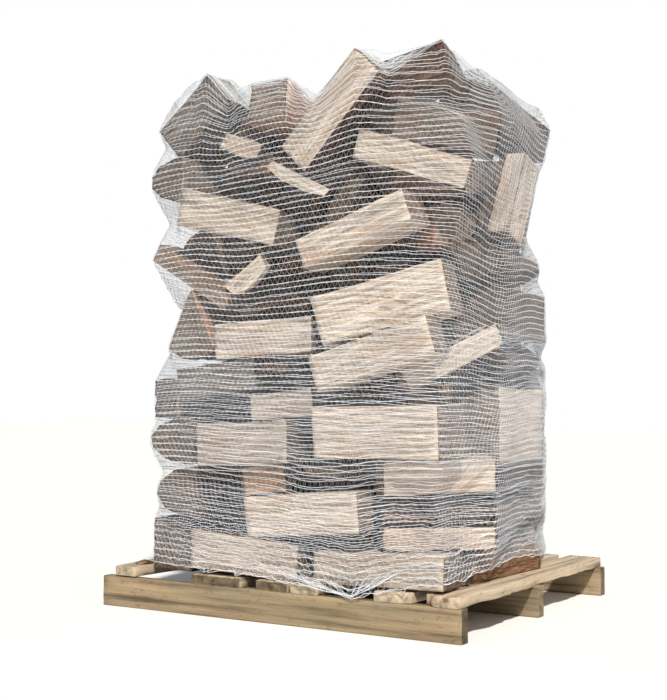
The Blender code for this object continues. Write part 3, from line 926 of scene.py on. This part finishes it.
class FIREWOOD_OT_pallet(bpy.types.Operator):
    """Saw the stringers and deck boards of the pallet and nail them together"""

    bl_idname = "firewood.pallet"
    bl_label = "Pallet"

    def execute(self, context):
        settings = context.scene.firewood_pallet
        log_materials()
        timber = timber_material(tuple(settings.timber_colour))
        steel = metal_material()
        boards = sorted(n for n in frame["nodes"] if n.startswith("deck_board"))
        for name in (*STRINGERS, *boards):
            low, high = [Vector(c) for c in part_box(name)]
            lengthways = 0 if name in STRINGERS else 1
            bm = sawn_board(low, high, lengthways)
            age_board(bm, name, low, high, lengthways, settings.wane)
            hand_over("sawn_" + name, bm, [timber], [name])
        nails = bmesh.new()
        draw = random.Random(41)
        for name in boards:
            low, high = [Vector(c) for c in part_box(name)]
            for stringer in STRINGERS:
                y = sum(c[1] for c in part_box(stringer)) / 2
                for share in NAIL_SHARES:
                    x = low.x + (high.x - low.x) * share
                    x += draw.uniform(-NAIL_STRAY[0], NAIL_STRAY[0])
                    place = (x, y + draw.uniform(-NAIL_STRAY[1], NAIL_STRAY[1]), high.z + 0.0002)
                    add_to(nails, nail_head(place, settings.nail_diameter))
        hand_over("nail_heads", nails, [steel])
        return {"FINISHED"}


# Loose chips: name, middle, length, width, thickness, turn, tilt, finish
CHIPS = (
    ("chip_middle", (-0.103, -0.451, 0.981), 0.165, 0.058, 0.020, 0, 32, SPLIT),
    ("chip_upper", (-0.144, -0.429, 1.369), 0.150, 0.058, 0.022, 0, -24, SPLIT),
    ("chip_thin", (0.061, -0.449, 1.250), 0.245, 0.036, 0.014, 0, -27, SPLIT),
    ("slab_behind", (-0.363, -0.200, 1.441), 0.220, 0.075, 0.028, 32, 57, BARK),
    ("chip_between", (-0.014, -0.452, 0.717), 0.110, 0.060, 0.030, 0, 4, BARK),
    ("chip_lower", (0.150, -0.430, 0.425), 0.120, 0.052, 0.030, 0, 2, SAWN),
    ("bark_flake_1", (0.462, -0.130, 0.1245), 0.070, 0.030, 0.008, 30, 2, BARK),
    ("bark_flake_2", (0.500, -0.300, 0.1240), 0.046, 0.026, 0.007, -20, 0, BARK),
    ("bark_flake_3", (-0.520, -0.420, 0.1245), 0.052, 0.024, 0.008, 70, 2, BARK),
    ("bark_flake_4", (0.100, 0.470, 0.1245), 0.060, 0.030, 0.008, 15, 0, BARK),
)
# A chip tilted by more than this, in degrees, stands on its narrow side
STANDS_ON_EDGE = 20
CHIP_SLICES = 24
CHIP_EDGE = 0.005


def chip(row):
    """A torn splinter: a thin wedge with ragged ends."""
    name, middle, length, width, thick, turn, tilt, finish = row
    seed = number_of(name)
    draw = random.Random(seed)
    bm = bmesh.new()
    bmesh.ops.create_cube(bm, size=1.0)
    if abs(tilt) > STANDS_ON_EDGE:
        width, thick = thick, width
    bmesh.ops.scale(bm, verts=bm.verts, vec=(length, width, thick))
    for end in (-1, 1):
        broken = (end, draw.uniform(-0.5, 0.5), draw.uniform(-0.7, 0.7))
        cut(bm, (end * length * 0.45, 0, 0), broken)
        slant = (end * draw.uniform(0.12, 0.30), 0, draw.choice((-1, 1)))
        cut(bm, (end * length * 0.3, 0, slant[2] * thick * 0.36), slant)
    for k in range(1, CHIP_SLICES):
        slice_at(bm, (length * (k / CHIP_SLICES - 0.5), 0, 0), (1, 0, 0))
    for face in bm.faces:
        face.material_index = SAWN if abs(face.normal.x) > END_FACING else finish
    refine(bm, CHIP_EDGE)
    tag_grain(bm, Vector(), seed % 97, draw.uniform(0.6, 1.0), 0.0)
    roughen(bm, seed % 97)
    place = (
        Matrix.Translation(middle)
        @ Matrix.Rotation(math.radians(turn), 4, "Z")
        @ Matrix.Rotation(math.radians(-tilt), 4, "Y")
    )
    bmesh.ops.transform(bm, matrix=place, verts=bm.verts)
    return bm


class FIREWOOD_OT_chips(bpy.types.Operator):
    """Scatter the splinters between the logs and the bark flakes on the deck"""

    bl_idname = "firewood.chips"
    bl_label = "Chips and Bark"

    def execute(self, context):
        for row in CHIPS:
            hand_over(row[0], chip(row), log_materials())
        return {"FINISHED"}


# Net

# Points in each row of the net
AROUND = 390
# The steps in which the load's outside is felt, in degrees round it and up it
ANGLE_STEP = 1.5
LEVEL_STEP = 0.012
LOW_LEVEL = 0.09
# The taut net leans this steeply to a log that sticks out, over this many steps
LEAN = 0.55
LEAN_STEPS = 12
LEAST_REACH = 0.1
# The least that a direction faces another for the load's reach in it to count
LEAST_FACING = 0.08
HEM_HIGH = 0.148
# The hem's height in some directions round the load, in degrees from +X
HEM = (
    (-180, 0.148), (-152, 0.140), (-141, 0.128), (-134, 0.137), (-95, 0.131), (-70, 0.112),
    (-61, 0.092), (-50, 0.128), (-44, 0.140), (-30, 0.152), (-6, 0.172), (30, 0.152),
    (180, 0.148),
)
# The net hangs in front of the deck boards where it is lower than they are
DECK_TOP = 0.131
DECK_FRONT = 0.5125
DECK_FACING = 0.75
# Where the turns of net lie row on row, so that the wood shows through best
OPEN_SIDE = math.radians(-88)
OPEN_WIDTH = 1.25
OPEN_FROM = 0.42
OPEN_TO = 0.90
ANGLES_COARSE = np.radians(np.arange(0, 360, 6.0))
ROW_WAVE = 0.0016
ROW_JITTER = 0.0007
LOOSE_HEM = 3.0
# The plan on which the heap's top is felt out, and how steeply the net falls from a tip
PLAN_HALF = 0.7
PLAN_CELL = 0.01
TOP_FROM = 1.0
TENT_SLOPE = 1.0
TENT_REACH = 0.13
COVER_REACH = 0.40
RIM_WAVES = 2
RIM_STEP = 0.004
RIM_REACH = 0.85
# The way round the load is measured between these heights
GIRTH_LEVELS = (0.3, 1.2)
# The share of the flat net that is declared as yarn. It is set just above the least
# that a sheet may have, and a net of yarn as thin as this really holds less
# How much shorter than the way round the load the net is declared, when slack. A
# guess, chosen so that the yarn's area stays within what a sheet may have
# A log whose corner is this near to a row touches the net there
TOUCH_LIMIT = 0.016
# A piece of net holds at most this many rows
BAND_ROWS = 41

# Strips of net, from the inside out: rows up the load, rows on over its top, the
# levels from the hem at 0 to the rim at 1, how unevenly the rows are pulled, how far
# they slide past the inner turn's on the open side, and the height above the logs
STRIPS = {
    "inner_turn": dict(
        rows=80, cover=19, levels=(0.0, 1.0), seed=3.1, unrest=0.3, slide=0.0, lift=0.0
    ),
    "outer_turn": dict(
        rows=80, cover=11, levels=(0.0, 1.0), seed=3.1, unrest=0.3, slide=2.0, lift=0.0022
    ),
    "hem_turn": dict(
        rows=15, cover=0, levels=(0.0, 0.17), seed=7.7, unrest=0.35, slide=0.0, lift=0.0044
    ),
    "middle_turn": dict(
        rows=23, cover=0, levels=(0.20, 0.49), seed=5.2, unrest=0.35, slide=0.0, lift=0.0044
    ),
}

# The tie on the front stringer, between deck boards 4 and 5: its place, its number of
# yarns, the points in each, and how far the yarns come from and rise on either side
TIE = (0.281, -DECK_FRONT, 0.094)
TIE_YARNS = 22
TIE_POINTS = 8
TIE_RIGHT = (0.16, 0.045)
TIE_LEFT = (0.30, 0.025)
TIE_RISE = 0.030
TIE_SAG = 0.006
# How much thicker than a stitch the gathered yarn is
TIE_THICKER = 2.7


def load_edges():
    """Both ends of every edge of the logs' solids."""
    ends = []
    for name, node in sorted(frame["nodes"].items()):
        if name.startswith("log"):
            places = np.array([v.co for v in node.data.vertices])
            pairs = np.array([e.vertices[:] for e in node.data.edges])
            ends.append(places[pairs])
    return np.concatenate(ends)


class Load:
    """The outside of the heap as a taut net feels it."""

    def __init__(self):
        edges = load_edges()
        swap = edges[:, 0, 2] > edges[:, 1, 2]
        edges[swap] = edges[swap][:, ::-1]
        self.levels = np.arange(LOW_LEVEL, edges[:, :, 2].max() + 0.02, LEVEL_STEP)
        self.angles = np.radians(np.arange(0, 360, ANGLE_STEP))
        table = np.array([self.ring(edges, z) for z in self.levels])
        leaning = table.copy()
        for step in range(1, LEAN_STEPS):
            sink = step * LEVEL_STEP * LEAN
            leaning[step:] = np.maximum(leaning[step:], table[:-step] - sink)
            leaning[:-step] = np.maximum(leaning[:-step], table[step:] - sink)
        soft = leaning.copy()
        soft[1:-1] = (leaning[:-2] + 2 * leaning[1:-1] + leaning[2:]) / 4
        self.table = np.maximum(soft, leaning - 0.002)
        self.heights()

    def ring(self, edges, z):
        """How far the hull of one level reaches in each direction from the middle."""
        low, high = z - LEVEL_STEP / 2, z + LEVEL_STEP / 2
        first, last = edges[:, 0], edges[:, 1]
        meets = (first[:, 2] <= high) & (last[:, 2] >= low)
        first, last = first[meets], last[meets]
        if not len(first):
            return np.full(len(self.angles), LEAST_REACH)
        run = np.maximum(last[:, 2] - first[:, 2], 1e-9)
        start = np.clip((low - first[:, 2]) / run, 0, 1)[:, None]
        stop = np.clip((high - first[:, 2]) / run, 0, 1)[:, None]
        along = last - first
        points = np.concatenate([first + along * start, first + along * stop])[:, :2]
        ways = np.stack([np.cos(self.angles), np.sin(self.angles)])
        reach = (points @ ways).max(axis=0)
        facing = np.cos(self.angles[:, None] - self.angles[None, :])
        far = reach[:, None] / np.maximum(facing, LEAST_FACING)
        limits = np.where(facing > LEAST_FACING, far, 9.0)
        return np.maximum(limits.min(axis=0), LEAST_REACH)

    def radius(self, angle, z):
        """Distance of the taut net from the middle, at an angle and a height."""
        turn = (np.mod(angle, 2 * math.pi) / math.radians(ANGLE_STEP)).astype(float)
        a0 = np.floor(turn).astype(int) % len(self.angles)
        a1 = (a0 + 1) % len(self.angles)
        fa = turn - np.floor(turn)
        row = np.clip((z - LOW_LEVEL) / LEVEL_STEP, 0, len(self.levels) - 1.001)
        r0 = np.floor(row).astype(int)
        fr = row - r0
        top = self.table[r0, a0] * (1 - fa) + self.table[r0, a1] * fa
        above = self.table[r0 + 1, a0] * (1 - fa) + self.table[r0 + 1, a1] * fa
        return top * (1 - fr) + above * fr

    def heights(self):
        """The heap's height over a fine plan, with tent-like slopes from its tips."""
        bm = bmesh.new()
        for name, node in sorted(frame["nodes"].items()):
            if name.startswith("log"):
                bm.from_mesh(node.data)
        tree = BVHTree.FromBMesh(bm)
        tips = [v.co[:] for v in bm.verts if v.co.z > TOP_FROM]
        bm.free()
        plan = np.arange(-PLAN_HALF, PLAN_HALF, PLAN_CELL)
        high = np.full((len(plan), len(plan)), TOP_FROM)
        for i, x in enumerate(plan):
            for j, y in enumerate(plan):
                hit = tree.ray_cast(Vector((x, y, 3)), -UP)[0]
                if hit:
                    high[i, j] = max(hit.z, TOP_FROM)
        for x, y, z in tips:
            i, j = int((x + PLAN_HALF) / PLAN_CELL), int((y + PLAN_HALF) / PLAN_CELL)
            high[i:i + 2, j:j + 2] = np.maximum(high[i:i + 2, j:j + 2], z)
        tent = high.copy()
        reach = int(TENT_REACH / PLAN_CELL)
        for di in range(-reach, reach + 1):
            for dj in range(-reach, reach + 1):
                sink = TENT_SLOPE * math.hypot(di, dj) * PLAN_CELL
                moved = np.roll(high, (di, dj), (0, 1)) - sink
                tent = np.maximum(tent, moved)
        self.tent = tent

    def top(self, x, y):
        """The height of the net over the heap at places on the plan."""
        i = np.clip((x + PLAN_HALF) / PLAN_CELL, 0, len(self.tent) - 1.001)
        j = np.clip((y + PLAN_HALF) / PLAN_CELL, 0, len(self.tent) - 1.001)
        i0, j0 = np.floor(i).astype(int), np.floor(j).astype(int)
        fi, fj = i - i0, j - j0
        near = self.tent[i0, j0] * (1 - fi) + self.tent[i0 + 1, j0] * fi
        far = self.tent[i0, j0 + 1] * (1 - fi) + self.tent[i0 + 1, j0 + 1] * fi
        return near * (1 - fj) + far * fj


def drift(angle, turns, height, shift):
    """Smooth noise round the load, one value for each angle."""
    return np.array([
        noise.noise(Vector((turns * math.cos(a), turns * math.sin(a), height)) + shift) for a in angle
    ])


class Wrap:
    """The way round the load that the net's rows follow, with its hem and its rim."""

    def __init__(self, load, clearance):
        self.load, self.clearance = load, clearance
        low, high = GIRTH_LEVELS
        mean = load.table[(load.levels > low) & (load.levels < high)].mean(axis=0)
        ring = np.append(mean, mean[0])
        angles = np.append(load.angles, 2 * math.pi)
        places = np.stack([ring * np.cos(angles), ring * np.sin(angles)], axis=1)
        walked = np.append(0, np.cumsum(np.linalg.norm(np.diff(places, axis=0), axis=1)))
        self.girth = walked[-1]
        self.angle = np.interp(np.arange(AROUND) / AROUND * self.girth, walked, angles)
        turns = np.degrees(np.angle(np.exp(1j * self.angle)))
        self.hem = np.interp(turns, *zip(*HEM))
        self.rim = self.find_rim()
        self.brow = self.furthest_above(self.rim)
        brow = self.brow * np.cos(self.angle), self.brow * np.sin(self.angle)
        self.rim = np.maximum(self.rim, load.top(*brow))
        waves = np.fft.rfft(self.rim)
        waves[RIM_WAVES + 1:] = 0
        self.soft_rim = np.fft.irfft(waves, AROUND)

    def find_rim(self):
        """The upper edge of the net's solid in each direction."""
        bm = bmesh.new()
        bm.from_mesh(frame["nodes"]["net"].data)
        tree = BVHTree.FromBMesh(bm)
        bm.free()
        top = max(self.load.levels)
        rim = []
        for a in self.angle:
            way = Vector((math.cos(a), math.sin(a), 0))
            z = top
            while z > TOP_FROM and tree.ray_cast(way + UP * z, -way, RIM_REACH)[0] is None:
                z -= RIM_STEP
            rim.append(z)
        return np.array(rim)

    def furthest_above(self, z):
        """How far the load reaches out at or above the heights given for each angle."""
        levels = self.load.levels
        reach = np.array([self.load.radius(self.angle, np.full(AROUND, v)) for v in levels])
        above = levels[:, None] >= z[None, :] - LEVEL_STEP
        return np.where(above, reach, 0).max(axis=0)

    def height(self, level):
        """The height at a level, from 0 at the hem to 1 at the rim, for each angle."""
        middle = self.soft_rim.mean()
        z = HEM_HIGH + (middle - HEM_HIGH) * level
        z = z + (self.hem - HEM_HIGH) * (1 - level) ** 5
        z = z + (self.soft_rim - middle) * level ** 3
        return z + (self.rim - self.soft_rim) * level ** 12

    def place(self, z, lift):
        """Points on the load's outside at the heights given for each angle."""
        r = self.load.radius(self.angle, z) + self.clearance + lift
        ahead = -np.sin(self.angle)
        front = np.where(ahead > DECK_FACING, DECK_FRONT / np.maximum(ahead, DECK_FACING), 0)
        r = np.where(z < DECK_TOP, np.maximum(r, front + lift), r)
        return np.stack([r * np.cos(self.angle), r * np.sin(self.angle), z], axis=1)

    def cover(self, share, lift):
        """Points on top of the heap, from the rim at 0 inwards to 1."""
        r = (self.brow + self.clearance + lift) * (1 - COVER_REACH * share)
        z = self.load.top(r * np.cos(self.angle), r * np.sin(self.angle)) + self.clearance + lift
        return np.stack([r * np.cos(self.angle), r * np.sin(self.angle), z], axis=1)


def row_levels(rows, bottom, top, seed, unrest):
    """The levels of a strip's rows, spread unevenly as the net was pulled."""
    gaps = np.array([
        1 + unrest * (0.4 * drift(ANGLES_COARSE, 1.2, k * 0.11, Vector((seed, 0, 0)))
                      + 1.1 * drift(ANGLES_COARSE, 2.2, k * 0.9, Vector((0, seed, 0))))
        for k in range(rows)
    ])
    level = np.cumsum(np.maximum(gaps, 0.2), axis=0)
    level = (level - level[0]) / (level[-1] - level[0])
    return bottom + (top - bottom) * level


def open_share(angle):
    """How nearly a direction is that of the open part of the net, from 1 down to 0."""
    off = np.angle(np.exp(1j * (angle - OPEN_SIDE)))
    return np.exp(-((off / OPEN_WIDTH) ** 4))


def strip_rows(wrap, strip):
    """The rows of one strip of net, as lines of points round the load."""
    rows, cover = strip["rows"], strip["cover"]
    draw = np.random.default_rng(int(strip["seed"] * 10))
    coarse = row_levels(rows, *strip["levels"], strip["seed"], strip["unrest"])
    whole = np.append(ANGLES_COARSE, 2 * math.pi)
    lines = []
    for k in range(rows):
        level = np.interp(wrap.angle, whole, np.append(coarse[k], coarse[k][0]))
        slide = strip["slide"] / rows * open_share(wrap.angle)
        rise = np.clip(level / OPEN_FROM, 0, 1) * np.clip((1 - level) / (1 - OPEN_TO), 0, 1)
        level = np.clip(level + slide * rise, 0, 1)
        wave = ROW_WAVE * drift(wrap.angle, 9.0, k * 1.7, Vector((0, 0, strip["seed"])))
        wave = wave + draw.normal(0, ROW_JITTER, AROUND) * (1 + LOOSE_HEM * (1 - level) ** 8)
        lines.append(wrap.place(wrap.height(level) + wave, strip["lift"]))
    lines.extend(wrap.cover((k + 1) / cover, strip["lift"]) for k in range(cover))
    return lines


def yarn_curve(name, lines, diameter, closed):
    """Round yarn along lines of points, as a mesh."""
    data = bpy.data.curves.new(name, "CURVE")
    data.dimensions = "3D"
    data.bevel_depth = diameter / 2
    data.bevel_resolution = 0
    data.use_fill_caps = not closed
    for line in lines:
        spline = data.splines.new("POLY")
        spline.points.add(len(line) - 1)
        four = np.concatenate([line, np.ones((len(line), 1))], axis=1)
        spline.points.foreach_set("co", four.ravel())
        spline.use_cyclic_u = closed
    path = bpy.data.objects.new(name + "_path", data)
    mesh = bpy.data.meshes.new_from_object(path)
    bm = bmesh.new()
    bm.from_mesh(mesh)
    bpy.data.objects.remove(path)
    bpy.data.curves.remove(data)
    bpy.data.meshes.remove(mesh)
    return bm


def knit(name, lines, first, settings):
    """Chains along the rows, and stitches that zigzag from each row to the next."""
    chains = [line[(first + k) % 2::2] for k, line in enumerate(lines)]
    whole = yarn_curve(name, chains[:-1], settings.chain_diameter, True)
    zigzags = []
    for k in range(len(lines) - 1):
        pick = (np.arange(AROUND) + first + k) % 2 == 0
        zigzags.append(np.where(pick[:, None], lines[k], lines[k + 1]))
    add_to(whole, yarn_curve(name, zigzags, settings.stitch_diameter, True))
    return whole


def logs_touched(rows):
    """Names of the logs that reach the net at these rows."""
    points = np.concatenate(rows)
    tree = KDTree(len(points))
    for k, point in enumerate(points):
        tree.insert(point, k)
    tree.balance()
    return [
        name for name, node in sorted(frame["nodes"].items()) if name.startswith("log")
        and any(tree.find(v.co)[2] < TOUCH_LIMIT for v in node.data.vertices)
    ]


def anchor_lines(load, clearance):
    """Yarn gathered from the front of the net down to the tie."""
    draw = random.Random(5)
    tie = Vector(TIE)
    lines = []
    for _ in range(TIE_YARNS):
        side = draw.uniform(-1, 1)
        reach, climb = TIE_RIGHT if side > 0 else TIE_LEFT
        z = tie.z + (TIE_RISE + climb * abs(side) + draw.uniform(0, 0.014))
        angle = math.atan2(-0.5, tie.x + reach * side)
        r = float(load.radius(np.array([angle]), np.array([z]))[0]) + clearance + 0.001
        start = Vector((r * math.cos(angle), r * math.sin(angle), z))
        stray = [draw.uniform(*span) for span in ((-0.006, 0.006), (-0.002, 0.003), (0, 0.005))]
        stop = tie + Vector(stray)
        line = []
        for s in range(TIE_POINTS + 1):
            t = s / TIE_POINTS
            spot = start.lerp(stop, t)
            spot.z -= TIE_SAG * math.sin(math.pi * t) * draw.uniform(0.2, 1.0)
            line.append(spot[:])
        lines.append(np.array(line))
    return lines


class FIREWOOD_OT_net(bpy.types.Operator):
    """Wind the strips of net round the load and tie them down"""

    bl_idname = "firewood.net"
    bl_label = "Net"

    def execute(self, context):
        settings = context.scene.firewood_net
        yarn = yarn_material(tuple(settings.yarn_colour))
        load = Load()
        wrap = Wrap(load, settings.clearance)
        gathered = anchor_lines(load, settings.clearance)
        tie = yarn_curve("tie", gathered, settings.stitch_diameter * TIE_THICKER, False)
        tie = hand_over("net_tie", tie, [yarn])
        for name, strip in STRIPS.items():
            lines = strip_rows(wrap, strip)
            parts = math.ceil((len(lines) - 1) / BAND_ROWS)
            size = math.ceil((len(lines) - 1) / parts)
            for part in range(parts):
                first = part * size
                own = lines[first:first + size + 1]
                label = f"net_{name}_{part + 1}"
                band = hand_over(label, knit(label, own, first, settings), [yarn])
                if name == "inner_turn" and part == 0:
                    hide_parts("net")
                logs_touched(own)
        return {"FINISHED"}


# Studio

FLOOR_HALF = 20.0
# The floor lies this far down, so that the stringers' feet don't share its plane
FLOOR_DROP = 0.0008
SKY_COLOUR = (0.82, 0.90, 1.0, 1.0)
WALL_COLOUR = (1.0, 1.0, 1.0, 1.0)
KEY_COLOUR = (1.0, 0.955, 0.88)
KEY_WIDTH = math.radians(3.0)
KEY_DISTANCE = 7.0
LOAD_MIDDLE = Vector((0.0, 0.0, 0.75))
# The camera's place and turn, fitted to the pallet's corners in the photo
CAMERA_PLACE = (2.1387, -3.5316, 0.6397)
CAMERA_TURN = (math.pi / 2 + 0.0341, 0.0, 0.5649)


class FIREWOOD_OT_studio(bpy.types.Operator):
    """Lay the floor, set the lights and place the camera"""

    bl_idname = "firewood.studio"
    bl_label = "Studio"

    def execute(self, context):
        settings = context.scene.firewood_studio
        scene = context.scene
        bm = bmesh.new()
        bmesh.ops.create_grid(bm, x_segments=1, y_segments=1, size=FLOOR_HALF)
        bmesh.ops.translate(bm, verts=bm.verts, vec=(0, 0, -FLOOR_DROP))
        mesh = bpy.data.meshes.new("floor")
        bm.to_mesh(mesh)
        bm.free()
        floor = bpy.data.objects.new("floor", mesh)
        mesh.materials.append(floor_material(tuple(settings.floor_colour)))
        scene.collection.objects.link(floor)

        world = bpy.data.worlds.new("studio")
        world.use_nodes = True
        tree = world.node_tree
        sky = tree.nodes["Background"]
        sky.inputs["Color"].default_value = SKY_COLOUR
        sky.inputs["Strength"].default_value = settings.fill
        wall = put(tree, "ShaderNodeBackground", {"Color": WALL_COLOUR, "Strength": 1.0})
        seen = put(tree, "ShaderNodeLightPath").outputs["Is Camera Ray"]
        mixed = put(tree, "ShaderNodeMixShader", {0: seen, 1: sky.outputs[0], 2: wall.outputs[0]})
        tree.links.new(mixed.outputs[0], tree.nodes["World Output"].inputs[0])
        scene.world = world
        scene.view_settings.view_transform = "Standard"

        key = bpy.data.lights.new("key", "SUN")
        key.energy = settings.key_power
        key.angle = KEY_WIDTH
        key.color = KEY_COLOUR
        lamp = bpy.data.objects.new("key", key)
        turn, rise = math.radians(settings.key_turn), math.radians(settings.key_rise)
        level = math.cos(rise)
        way = Vector((math.sin(turn) * level, -math.cos(turn) * level, math.sin(rise)))
        lamp.location = LOAD_MIDDLE + way * KEY_DISTANCE
        lamp.rotation_euler = (-way).to_track_quat("-Z", "Y").to_euler()
        scene.collection.objects.link(lamp)

        camera = bpy.data.cameras.new("camera")
        camera.lens = settings.lens
        camera.sensor_width = 36.0
        camera.sensor_fit = "AUTO"
        camera.clip_end = 100.0
        eye = bpy.data.objects.new("camera", camera)
        eye.location = CAMERA_PLACE
        eye.rotation_euler = CAMERA_TURN
        scene.collection.objects.link(eye)
        scene.camera = eye
        return {"FINISHED"}


class FIREWOOD_PT_panel(bpy.types.Panel):
    """Lists the steps in the order they are run"""

    bl_idname = "FIREWOOD_PT_panel"
    bl_label = "Pallet of Firewood"
    bl_space_type = "VIEW_3D"
    bl_region_type = "UI"
    bl_category = "Firewood"

    def draw(self, context):
        for step in STEPS:
            self.layout.operator(step.bl_idname)
        for group in ("firewood_logs", "firewood_pallet", "firewood_net", "firewood_studio"):
            box = self.layout.box()
            for name in getattr(context.scene, group).__annotations__:
                box.prop(getattr(context.scene, group), name)


STEPS = (
    FIREWOOD_OT_pallet,
    FIREWOOD_OT_shown_logs,
    FIREWOOD_OT_bays,
    FIREWOOD_OT_chips,
    FIREWOOD_OT_net,
    FIREWOOD_OT_studio,
)
SETTINGS = {
    "firewood_logs": LogSettings,
    "firewood_pallet": PalletSettings,
    "firewood_net": NetSettings,
    "firewood_studio": StudioSettings,
}


def register():
    for part in (*SETTINGS.values(), *STEPS, FIREWOOD_PT_panel):
        bpy.utils.register_class(part)
    for name, group in SETTINGS.items():
        setattr(bpy.types.Scene, name, bpy.props.PointerProperty(type=group))


def unregister():
    for name in SETTINGS:
        delattr(bpy.types.Scene, name)
    for part in (FIREWOOD_PT_panel, *reversed(STEPS), *SETTINGS.values()):
        bpy.utils.unregister_class(part)


def main():
    register()
    bpy.ops.firewood.pallet()
    bpy.ops.firewood.shown_logs()
    bpy.ops.firewood.bays()
    bpy.ops.firewood.chips()
    bpy.ops.firewood.net()
    bpy.ops.firewood.studio()


if __name__ == "__main__":
    main()
